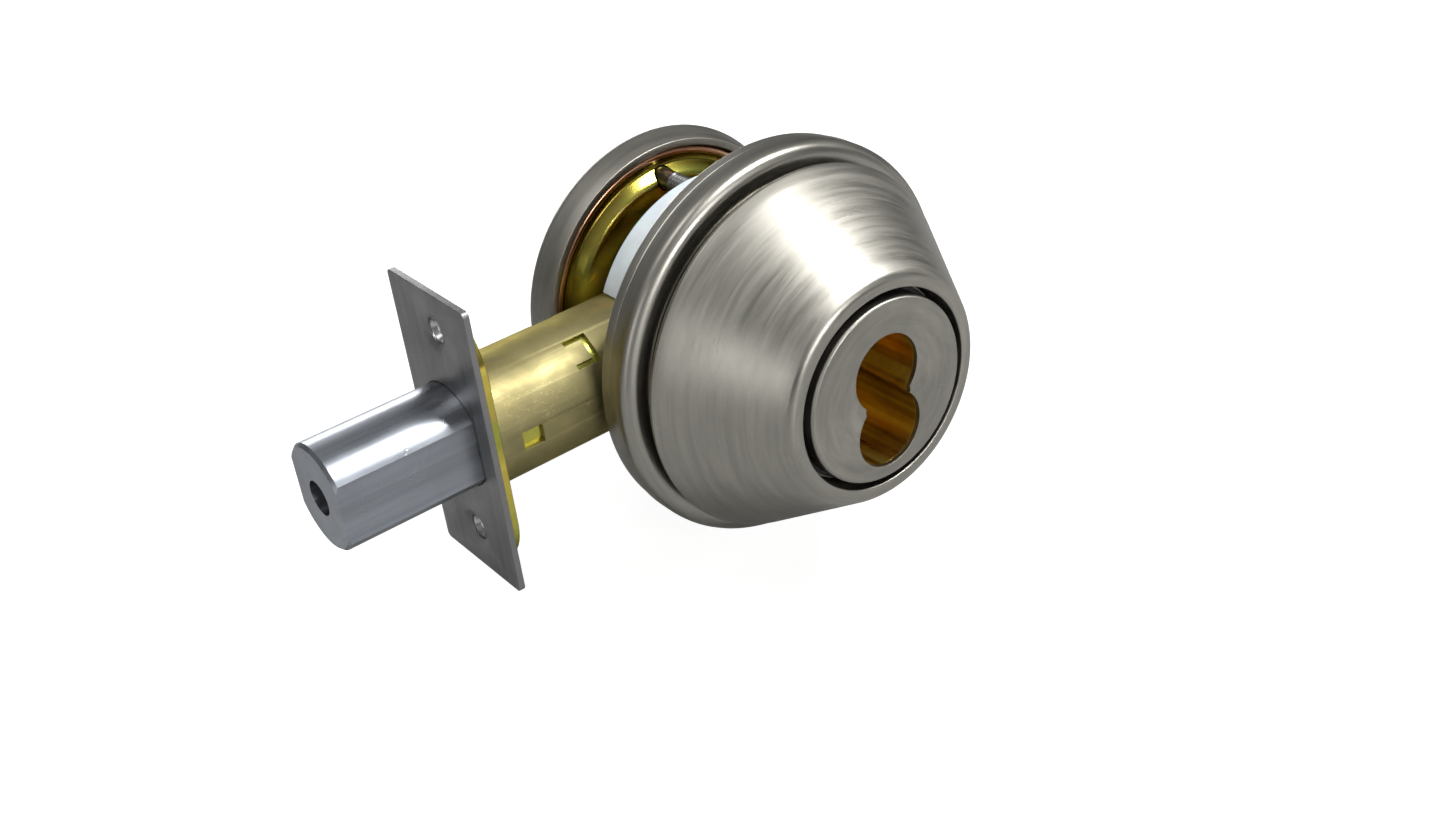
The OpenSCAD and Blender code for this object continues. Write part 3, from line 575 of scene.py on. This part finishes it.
def set_inputs(modifier, **values):
    """Sets a Geometry Nodes modifier's inputs by the identifiers of their named sockets."""
    for item in modifier.node_group.interface.items_tree:
        if item.item_type == "SOCKET" and item.in_out == "INPUT" and item.name.replace(" ", "_") in values:
            modifier[item.identifier] = values[item.name.replace(" ", "_")]


def run_tree(tree, points, name, **values):
    """Runs a tree on a mesh of loose points and gives back the plain mesh."""
    mesh = bpy.data.meshes.new(name + "_points")
    mesh.from_pydata([tuple(p) if len(p) == 3 else (p[0], p[1], 0.0) for p in points], [], [])
    work = linked(name + "_points", mesh)
    modifier = work.modifiers.new("build", "NODES")
    modifier.node_group = bpy.data.node_groups[tree]
    set_inputs(modifier, **values)
    return frozen(work, name)


def turned(name, corners, finish, steps=None, smooth=32.0, most=0.004, **thread):
    """A closed ring turned from rounded corners."""
    loop = sampled_line(rounded_loop(corners), most)
    steps = steps or bpy.context.scene.lock_detail.segments
    mesh = run_tree("Turn On Y", loop, name, Points=len(loop), Steps=steps,
                    Finish=bpy.data.materials["lock_" + finish], **thread)
    bm = bmesh.new()
    bm.from_mesh(mesh)
    bmesh.ops.remove_doubles(bm, verts=bm.verts, dist=2e-7)
    bmesh.ops.dissolve_degenerate(bm, edges=bm.edges, dist=1e-8)
    bmesh.ops.recalc_face_normals(bm, faces=bm.faces)
    if bm.calc_volume(signed=True) < 0:
        bmesh.ops.reverse_faces(bm, faces=bm.faces)
    bm.to_mesh(mesh)
    bm.free()
    mesh.shade_smooth()
    mesh.set_sharp_from_angle(angle=math.radians(smooth))
    return mesh


def round_bar(middle, along, radius, length, steps=40):
    """A closed bar used to cut a hole."""
    bm = bmesh.new()
    turn = Vector((0, 0, 1)).rotation_difference(Vector(along)).to_matrix().to_4x4()
    bmesh.ops.create_cone(bm, cap_ends=True, segments=steps, radius1=radius, radius2=radius, depth=length,
                          matrix=Matrix.Translation(middle) @ turn)
    mesh = bpy.data.meshes.new("cut_bar")
    bm.to_mesh(mesh)
    bm.free()
    return mesh


def carve(mesh, cutters, angle=32.0):
    """Cuts the closed cutters out of mesh."""
    work = linked("carved_work", mesh)
    objects = [work]
    for cutter in cutters:
        tool = linked("cutter", cutter)
        objects.append(tool)
        made = work.modifiers.new("cut", "BOOLEAN")
        made.operation, made.object, made.solver = "DIFFERENCE", tool, "EXACT"
    graph = bpy.context.evaluated_depsgraph_get()
    graph.update()
    cut = bpy.data.meshes.new_from_object(work.evaluated_get(graph), depsgraph=graph)
    bm = bmesh.new()
    bm.from_mesh(cut)
    bm.to_mesh(mesh)
    bm.free()
    for obj in objects:
        bpy.data.objects.remove(obj)
    mesh.set_sharp_from_angle(angle=math.radians(angle))


def arc_strip(along, radii, middle, half, steps=14):
    """A thin curved plate round the X axis, its middle and half angles in degrees from the street side."""
    bm = bmesh.new()
    rows = []
    for i in range(steps + 1):
        a = math.radians(middle - half + 2 * half * i / steps)
        rows.append([bm.verts.new((x, -r * math.cos(a), r * math.sin(a)))
                     for x, r in ((along[0], radii[0]), (along[1], radii[0]),
                                  (along[1], radii[1]), (along[0], radii[1]))])
    for one, two in zip(rows, rows[1:]):
        for k in range(4):
            bm.faces.new((one[k], one[(k + 1) % 4], two[(k + 1) % 4], two[k]))
    bm.faces.new(rows[0])
    bm.faces.new(rows[-1][::-1])
    bmesh.ops.recalc_face_normals(bm, faces=bm.faces)
    mesh = bpy.data.meshes.new("arc_strip")
    bm.to_mesh(mesh)
    bm.free()
    mesh.shade_smooth()
    mesh.set_sharp_from_angle(angle=math.radians(30))
    return mesh


# ---------------------------------------------------------------- operators


class LOCK_OT_finishes(bpy.types.Operator):
    """Make the shader groups, the finishes and the geometry node trees"""

    bl_idname = "lock.finishes"
    bl_label = "Finishes"
    bl_options = {"REGISTER", "UNDO"}

    def execute(self, context):
        t = context.scene.lock_tones
        for make in (make_turned_grain, make_straight_grain, make_handling, make_passivate,
                     make_turning_tree, make_repeat_tree):
            make()
        satin_turned("satin_collar", t.satin)
        satin_turned("satin_ring", t.satin, 4600.0, 0.32)
        satin_turned("satin_cap", [c * 0.92 for c in t.satin], 3800.0, 0.38, 0.004 * MM)
        satin_turned("satin_rose", [c * 0.9 for c in t.satin], 4600.0, 0.4)
        satin_straight("satin_knob", t.satin, (120.0, 4200.0, 4200.0))
        satin_straight("brushed_plate", t.plate, (3600.0, 3600.0, 70.0), 0.36, 0.006 * MM)
        satin_straight("satin_chrome", t.chrome, (60.0, 2200.0, 2200.0), 0.27, 0.0008 * MM, pits=0.15)
        satin_straight("screw_steel", [c * 1.1 for c in t.plate], (1500.0, 300.0, 1500.0), 0.32)
        yellow_zinc("yellow_zinc", t)
        yellow_zinc("ribbed_zinc", t, 0.17, 0.4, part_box("mounting_plate")[1].x)
        # painted highlight: the cups' steel is the plate's tone made 2.3 times brighter, standing for light
        # caught in the countersinks
        satin_straight("cup_steel", [min(1.0, c * 2.3) for c in t.plate], (900.0, 900.0, 900.0),
                       0.24, pits=0.1)
        olive_zinc("olive_zinc", t)
        core_brass("core_brass", t)
        satin_straight("pin_steel", t.pin, (900.0, 900.0, 900.0), 0.34)
        milky_plastic("milky_plastic", t)
        blackened("blackened", t)
        return {"FINISHED"}


class LOCK_OT_collar(bpy.types.Operator):
    """Turn the free-running guard collar"""

    bl_idname = "lock.collar"
    bl_label = "Guard Collar"
    bl_options = {"REGISTER", "UNDO"}

    def execute(self, context):
        d = context.scene.lock_detail
        low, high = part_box("guard_collar")
        base, back, front = high.x / MM, -high.y / MM, -low.y / MM
        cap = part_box("face_cap")[1].x / MM
        wash = -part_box("collar_washer")[0].y / MM
        mouth, bore = cap + 1.4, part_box("collar_snap_ring")[1].x / MM - 1.7
        nose = self.nose(base, back + 0.7, mouth + 0.3, front, d.collar_round / MM)
        slope = (base - nose) / (front - back - 0.7)
        wall = 2.2 * math.hypot(1, slope)
        web = wash + 0.3
        corners = [
            (base, back, 0.3), (base, back + 0.7, 0.5), (nose, front, d.collar_round / MM),
            (mouth, front, 0.35), (mouth, web + 2.0, 0.3), (bore, web + 2.0, 0.2), (bore, web, 0.2),
            (base - slope * (web - back - 0.7) - wall, web, 0.8),
            (base - wall, back + 0.7, 0.5), (base - wall, back, 0.3)]
        plain_mesh(turned("guard_collar_shape", corners, "satin_collar", most=2.5 * MM),
                   "collar_shell", "collar", "satin_steel", "satin_collar", "guard_collar")
        return {"FINISHED"}

    @staticmethod
    def nose(r0, h0, rc, h1, k):
        """Radius at which the cone's line meets the front plane."""
        dr, dh = rc - r0, h1 - k - h0
        a = math.atan2(dh, dr) - math.asin(k / math.hypot(dr, dh))
        return r0 + (h1 - h0) / math.tan(a)


class LOCK_OT_trim_ring(bpy.types.Operator):
    """Turn the beaded trim ring"""

    bl_idname = "lock.trim_ring"
    bl_label = "Trim Ring"
    bl_options = {"REGISTER", "UNDO"}

    def execute(self, context):
        low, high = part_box("trim_ring")
        out, rear, front = high.x / MM, -high.y / MM, -low.y / MM
        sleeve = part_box("bore_sleeve")[1].x / MM
        hole, neck = sleeve + 0.3, sleeve + 4.9
        bead = rear + 7.8
        corners = [
            (out - 0.3, rear, 0.35), (out - 0.3, rear + 2.2, 0.12), (out, rear + 2.5, 0.6),
            (out, bead, 3.6), (out - 5.2, bead, 1.9), (out - 6.2, bead - 1.1, 0.5), (neck, bead - 1.1, 0.4),
            (neck, front, 0.3), (neck - 1.5, front, 0.3), (neck - 1.5, rear + 3.9, 0.2),
            (hole, rear + 3.9, 0.2), (hole, rear + 1.9, 0.2), (out - 2.4, rear + 1.9, 0.3),
            (out - 2.4, rear, 0.3)]
        plain_mesh(turned("trim_ring_shape", corners, "satin_ring"),
                   "ring_shell", "case", "satin_steel", "satin_ring", "trim_ring")
        return {"FINISHED"}


class LOCK_OT_rose(bpy.types.Operator):
    """Turn the inner rose with its raised centre"""

    bl_idname = "lock.rose"
    bl_label = "Inner Rose"
    bl_options = {"REGISTER", "UNDO"}

    def execute(self, context):
        low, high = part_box("inner_rose")
        out, rear, face = high.x / MM, low.y / MM, high.y / MM
        flat, shaft = rear + 5.7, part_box("thumb_spindle")[1].x / MM + 0.1
        corners = [
            (out - 1.4, -rear, 0.25), (out, -(flat - 1.3), 0.5), (out, -flat, 1.2), (12.0, -flat, 0.5),
            (12.0, -face, 0.8), (shaft, -face, 0.3), (shaft, -(face - 1.8), 0.1), (10.0, -(face - 1.8), 0.3),
            (10.0, -(flat - 1.4), 0.4), (out - 2.8, -(flat - 1.4), 0.8), (out - 2.8, -rear, 0.25)]
        plain_mesh(turned("rose_shape", corners, "satin_rose"),
                   "rose_shell", "case", "satin_steel", "satin_rose", "inner_rose")
        return {"FINISHED"}


class LOCK_OT_face(bpy.types.Operator):
    """Show the face cap, the brass housing and what holds the collar"""

    bl_idname = "lock.face"
    bl_label = "Face and Housing"
    bl_options = {"REGISTER", "UNDO"}

    def execute(self, context):
        soft_piece("face_cap", "case", "satin_steel", "satin_cap", 0.4 * MM, steps=3)
        soft_piece("cylinder_housing", "case", "core_brass", "core_brass", 0.18 * MM)
        soft_piece("collar_snap_ring", "case", "dark_steel", "blackened", 0.12 * MM)
        soft_piece("collar_washer", "case", "sleeve_plastic", "milky_plastic", 0.1 * MM)
        soft_piece("cam_retainer", "case", "yellow_zinc", "yellow_zinc", 0.15 * MM)
        return {"FINISHED"}


class LOCK_OT_bolt(bpy.types.Operator):
    """Show the bolt, its hardened pin and its tail"""

    bl_idname = "lock.bolt"
    bl_label = "Bolt"
    bl_options = {"REGISTER", "UNDO"}

    def execute(self, context):
        soft_piece("bolt_head", "bolt", "bolt_chrome", "satin_chrome", 0.3 * MM, steps=3, angle=24.0)
        soft_piece("hardened_pin", "bolt", "dark_steel", "pin_steel", 0.3 * MM)
        soft_piece("bolt_tail", "bolt", "olive_zinc", "olive_zinc", 0.15 * MM)
        return {"FINISHED"}


class LOCK_OT_fronts(bpy.types.Operator):
    """Show the faceplate with its pressed cups, and the backing plate"""

    bl_idname = "lock.fronts"
    bl_label = "Faceplates"
    bl_options = {"REGISTER", "UNDO"}

    def execute(self, context):
        self.plate_and_cups()
        soft_piece("backing_plate", "case", "yellow_zinc", "yellow_zinc", 0.2 * MM)
        return {"FINISHED"}

    @staticmethod
    def plate_and_cups():
        """The faceplate, and the pressed cup behind each of its countersinks."""
        soft_piece("faceplate", "case", "plate_steel", "brushed_plate", 0.12 * MM)
        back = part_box("faceplate")[1].x
        corners = [(2.7, -0.1, 0.1), (2.55, 1.45, 0.2), (1.55, 1.45, 0.1), (1.55, 1.15, 0.1),
                   (2.0, 0.95, 0.4), (2.38, -0.1, 0.1)]
        # each cup wears the brightened steel, whose extra brightness is a painted highlight
        for name, z in (("upper_cup", PLATE_SCREW_Z), ("lower_cup", -PLATE_SCREW_Z)):
            cup = turned("cup_shape", corners, "cup_steel", steps=48)
            cup.transform(Matrix.Translation((back, 0, z)) @ Matrix.Rotation(math.pi / 2, 4, "Z"))
            plain_mesh(cup, name, "case", "plate_steel", "cup_steel")


class LOCK_OT_tube(bpy.types.Operator):
    """Show the latch tube with its windows' floors, the bore sleeve and the mounting plate"""

    bl_idname = "lock.tube"
    bl_label = "Tube, Sleeve and Mounting Plate"
    bl_options = {"REGISTER", "UNDO"}

    # each pair of windows: its middle behind the backing plate and its length in millimetres,
    # then its rise round the tube and its half width in degrees
    WINDOWS = (("low", 6.325, 4.2, 0, 13), ("top", 21.125, 4.8, 52, 19))
    WINDOW_OVERLAP = 0.7
    WINDOW_FLOOR = (10.6 * MM, 10.9 * MM)

    def execute(self, context):
        soft_piece("latch_tube", "case", "olive_zinc", "olive_zinc", 0.12 * MM, angle=35.0)
        soft_piece("bore_sleeve", "case", "sleeve_plastic", "milky_plastic", 0.15 * MM, angle=35.0)
        self.mounting_plate()
        self.window_floors()
        return {"FINISHED"}

    @staticmethod
    def mounting_plate():
        """Pressed plate with a lip, a valley and a fat rib towards the door, bored for the two screws."""
        low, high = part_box("mounting_plate")
        out, rear, rib = high.x / MM, -high.y / MM, -low.y / MM
        sheet, screw_hole = 1.2, 2.3 * MM
        flat = rear + sheet
        corners = [
            (out, rear, 0.2), (out, flat + 0.4, 0.5), (out - 1.1, flat + 0.4, 0.4),
            (out - 1.7, flat - 0.2, 0.6), (out - 2.7, flat - 0.2, 1.0), (out - 4.6, rib, 2.2),
            (out - 9.8, rib, 2.4), (out - 11.6, flat - 0.1, 1.0), (out - 13.0, flat, 0.3),
            (out - 13.0, rear, 0.2), (out - 11.0, rear, 0.6), (out - 9.2, rib - sheet, 1.2),
            (out - 5.2, rib - sheet, 1.2), (out - 3.2, rear, 0.8)]
        mesh = turned("mounting_plate_shape", corners, "ribbed_zinc")
        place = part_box("mounting_screws")[1].z - SCREW_HEAD
        carve(mesh, [round_bar((0, 0, z), (0, 1, 0), screw_hole, 60 * MM) for z in (place, -place)])
        plain_mesh(mesh, "mounting_plate_look", "case", "yellow_zinc", "ribbed_zinc", "mounting_plate")

    def window_floors(self):
        """Thin gold floors a little below the tube's skin, seen through its pressed windows."""
        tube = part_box("backing_plate")[1].x
        for name, behind, long, rise, half in self.WINDOWS:
            reach = [tube + (behind + way * (long / 2 + self.WINDOW_OVERLAP)) * MM for way in (-1, 1)]
            for side, angle in enumerate((rise, 180 - rise)):
                plain_mesh(arc_strip(reach, self.WINDOW_FLOOR, angle, half),
                           "window_floor_%s_%d" % (name, side), "case", "yellow_zinc", "yellow_zinc")


class LOCK_OT_drive(bpy.types.Operator):
    """Show the hub, its crank and the tailpiece with its cam"""

    bl_idname = "lock.drive"
    bl_label = "Drive"
    bl_options = {"REGISTER", "UNDO"}

    def execute(self, context):
        for node, body, slot, finish in (
                ("hub", "hub", "olive_zinc", "olive_zinc"), ("crank_arms", "hub", "olive_zinc", "olive_zinc"),
                ("crank_pin", "hub", "plate_steel", "screw_steel"),
                ("tailpiece", "tail", "plate_steel", "screw_steel"),
                ("throw_cam", "tail", "core_brass", "core_brass"),
                ("drive_pins", "tail", "plate_steel", "screw_steel")):
            soft_piece(node, body, slot, finish, 0.15 * MM)
        return {"FINISHED"}


class LOCK_OT_thumbturn(bpy.types.Operator):
    """Show the thumbturn, its spindle, clip and set screw"""

    bl_idname = "lock.thumbturn"
    bl_label = "Thumbturn"
    bl_options = {"REGISTER", "UNDO"}

    def execute(self, context):
        soft_piece("thumb_knob", "thumbturn", "satin_steel", "satin_knob", 0.9 * MM, steps=4)
        soft_piece("thumb_spindle", "thumbturn", "plate_steel", "screw_steel", 0.2 * MM)
        soft_piece("thumb_clip", "thumbturn", "dark_steel", "blackened", 0.12 * MM)
        soft_piece("knob_set_screw", "thumbturn", "dark_steel", "blackened", 0.15 * MM)
        return {"FINISHED"}


class LOCK_OT_fasteners(bpy.types.Operator):
    """Set the through screws, the cam screws and the rivets on their places"""

    bl_idname = "lock.fasteners"
    bl_label = "Fasteners"
    bl_options = {"REGISTER", "UNDO"}

    def execute(self, context):
        d = context.scene.lock_detail
        low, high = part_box("mounting_screws")
        place, head = high.z - SCREW_HEAD, SCREW_HEAD / MM
        tip, under, top = -low.y / MM, -(high.y - 2 * MM) / MM, -high.y / MM
        corners = [(0.0, tip, 0), (1.5, tip, 0.2), (2.0, tip - 0.7, 0.2), (2.0, under, 0.05),
                   (head, under, 0.15), (head, top + 0.9, 0.5), (2.3, top, 0.6), (0.0, top, 0)]
        screw = turned("screw_shape", corners, "screw_steel", steps=56, most=0.2 * MM,
                       Pitch=d.thread_pitch, Thread_Depth=d.thread_depth,
                       Thread_Start=(under + 6.0) * MM, Thread_End=(tip - 0.3) * MM)
        self.recess(screw, top)
        self.spread("through_screws", screw, [(0, 0, place), (0, 0, -place)],
                    "case", "plate_steel", "screw_steel", "mounting_screws")
        low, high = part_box("cam_screws")
        rear, deep = -high.y / MM, -low.y / MM
        head = 1.7
        corners = [(0.0, rear, 0), (1.1, rear, 0.3), (head, rear + 0.35, 0.15), (head, rear + 0.5, 0.05),
                   (0.9, rear + 0.5, 0.02), (0.9, deep - 0.2, 0.1), (0.6, deep, 0.1), (0.0, deep, 0)]
        shape = turned("cam_screw_shape", corners, "blackened", steps=40)
        x = high.x - head * MM
        self.spread("cam_screw_row", shape, [(x, 0, 0), (-x, 0, 0)],
                    "case", "dark_steel", "blackened", "cam_screws")
        low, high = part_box("tail_rivets")
        end, z = high.y / MM, (low.z + high.z) / 2
        corners = [(0.0, -end, 0), (0.75, -end, 0.25), (1.0, -end + 0.25, 0.1),
                   (1.0, end - 0.25, 0.1), (0.75, end, 0.25), (0.0, end, 0)]
        shape = turned("rivet_shape", corners, "screw_steel", steps=32)
        self.spread("rivet_row", shape, [(low.x + 1 * MM, 0, z), (high.x - 1 * MM, 0, z)],
                    "bolt", "plate_steel", "screw_steel", "tail_rivets")
        return {"FINISHED"}

    @staticmethod
    def recess(mesh, top):
        """Cuts a cross recess into the screw's head."""
        cutters = []
        long, slit = 3.2, 0.62
        for size in ((long, slit), (slit, long)):
            bm = bmesh.new()
            bmesh.ops.create_cube(bm, size=1.0)
            bm.transform(Matrix.Translation((0, -(top + 0.3) * MM, 0))
                         @ Matrix.Diagonal((size[0] * MM, 2.2 * MM, size[1] * MM, 1)))
            cut = bpy.data.meshes.new("cross")
            bm.to_mesh(cut)
            bm.free()
            cutters.append(cut)
        carve(mesh, cutters)

    @staticmethod
    def spread(name, shape, places, body, slot, finish, node):
        """Shows shape on every one of the places, as one piece in the CAD node's place."""
        source = linked(name + "_source", shape)
        mesh = run_tree("Set On Places", places, name + "_shape", Shape=source,
                        Finish=bpy.data.materials["lock_" + finish])
        bpy.data.objects.remove(source)
        plain_mesh(mesh, name, body, slot, finish, node)


class LOCK_OT_stage(bpy.types.Operator):
    """Lay the floor and set the lamps and the camera"""

    bl_idname = "lock.stage"
    bl_label = "Stage"
    bl_options = {"REGISTER", "UNDO"}

    # name, place, aim, watts, and the two sides in metres
    LAMPS = (("key", (0.34, -0.36, 0.77), (0, -0.03, 0), 8.4, 0.24, 0.32),
             ("fill", (-0.05, -0.85, 0.34), (0, -0.03, -0.005), 3.0, 0.30, 0.30),
             ("left", (-0.75, -0.30, 0.20), (0, 0, 0), 0.6, 0.25, 0.35),
             ("top", (-0.35, 0.05, 0.80), (0, 0, 0), 0.9, 0.30, 0.30),
             ("back", (0.15, 0.95, 0.22), (0, 0, 0), 3.2, 0.6, 0.3))

    def execute(self, context):
        scene, s = context.scene, context.scene.lock_stage
        self.floor(s)
        self.sky(scene, s)
        for name, place, aim, power, wide, tall in self.LAMPS:
            lamp = bpy.data.lights.new(name, "AREA")
            lamp.shape, lamp.size, lamp.size_y, lamp.energy = "RECTANGLE", wide, tall, power * s.strength
            obj = linked(name, lamp)
            obj.location = place
            obj.rotation_euler = (Vector(aim) - Vector(place)).to_track_quat("-Z", "Y").to_euler()
        scene.view_settings.view_transform = "Standard"
        scene.camera = self.camera(s)
        return {"FINISHED"}

    @staticmethod
    def floor(s):
        """A pale floor under the lock that glows a little to the camera alone."""
        floor_mesh = bpy.data.meshes.new("floor")
        size, z = 3.0, CAD_BOX[0][2] - s.floor_drop
        floor_mesh.from_pydata([(-size, -size, z), (size, -size, z), (size, size, z), (-size, size, z)],
                               [], [(0, 1, 2, 3)])
        linked("floor", floor_mesh)
        pale = bpy.data.materials.new("pale_floor")
        pale.use_nodes = True
        net = Net(pale.node_tree)
        ins = pale.node_tree.nodes["Principled BSDF"].inputs
        ins["Roughness"].default_value = 0.9
        ins["Specular IOR Level"].default_value = 0.1
        place = net.node("ShaderNodeTexCoord").outputs["Object"]
        net.put(ins["Base Color"],
                net.blend(net.noise(place, 12.0, 3.0), rgba((0.36,) * 3), rgba((0.40,) * 3)))
        net.put(ins["Emission Color"], rgba((1.0,) * 3))
        seen = net.node("ShaderNodeLightPath").outputs["Is Camera Ray"]
        net.put(ins["Emission Strength"], net.math("MULTIPLY", seen, 0.84))
        floor_mesh.materials.append(pale)

    @staticmethod
    def sky(scene, s):
        """A dim grey sky that rises overhead, and is white to the camera."""
        world = scene.world or bpy.data.worlds.new("studio")
        scene.world = world
        world.use_nodes = True
        net = Net(world.node_tree)
        back = world.node_tree.nodes["Background"].inputs
        way = net.node("ShaderNodeTexCoord").outputs["Generated"]
        rise = net.node("ShaderNodeSeparateXYZ", {0: way}).outputs[2]
        glow = net.math("MULTIPLY", net.spread(rise, -0.2, 0.9, 0.04, 0.34), s.strength)
        seen = net.node("ShaderNodeLightPath").outputs["Is Camera Ray"]
        net.put(back["Color"], rgba((1.0,) * 3))
        net.put(back["Strength"], net.math("MAXIMUM", glow, seen))

    @staticmethod
    def camera(s):
        """The camera, turned round its aim point."""
        a, e, r = s.azimuth, s.elevation, s.roll
        out = Vector((math.sin(a) * math.cos(e), -math.cos(a) * math.cos(e), math.sin(e)))
        right = Vector((math.cos(a), math.sin(a), 0))
        up = out.cross(right)
        right, up = right * math.cos(r) + up * math.sin(r), up * math.cos(r) - right * math.sin(r)
        lens = bpy.data.cameras.new("camera")
        lens.sensor_width, lens.lens, lens.clip_start = 36.0, s.lens, 0.01
        made = linked("camera", lens)
        turn = Matrix((right, up, out)).transposed().to_4x4()
        made.matrix_world = Matrix.Translation(Vector(AIM) + out * s.distance) @ turn
        return made


OPERATORS = (LOCK_OT_finishes, LOCK_OT_collar, LOCK_OT_trim_ring, LOCK_OT_rose, LOCK_OT_face, LOCK_OT_bolt,
             LOCK_OT_fronts, LOCK_OT_tube, LOCK_OT_drive, LOCK_OT_thumbturn, LOCK_OT_fasteners, LOCK_OT_stage)


class LOCK_PT_panel(bpy.types.Panel):
    """Deadbolt settings and build steps"""

    bl_idname = "LOCK_PT_panel"
    bl_label = "Tubular Deadbolt"
    bl_space_type = "VIEW_3D"
    bl_region_type = "UI"
    bl_category = "Deadbolt"

    def draw(self, context):
        for label, group in (("Tones", context.scene.lock_tones), ("Detail", context.scene.lock_detail),
                             ("Stage", context.scene.lock_stage)):
            box = self.layout.box()
            box.label(text=label)
            for key in group.__annotations__:
                box.prop(group, key)
        column = self.layout.column(align=True)
        for step in OPERATORS:
            column.operator(step.bl_idname)


CLASSES = (LockTones, LockDetail, LockStage, *OPERATORS, LOCK_PT_panel)


def register():
    for cls in CLASSES:
        bpy.utils.register_class(cls)
    bpy.types.Scene.lock_tones = PointerProperty(type=LockTones)
    bpy.types.Scene.lock_detail = PointerProperty(type=LockDetail)
    bpy.types.Scene.lock_stage = PointerProperty(type=LockStage)


def unregister():
    for key in ("lock_tones", "lock_detail", "lock_stage"):
        delattr(bpy.types.Scene, key)
    for cls in reversed(CLASSES):
        bpy.utils.unregister_class(cls)


def main():
    register()
    for step in OPERATORS:
        family, name = step.bl_idname.split(".")
        getattr(getattr(bpy.ops, family), name)()


if __name__ == "__main__":
    main()
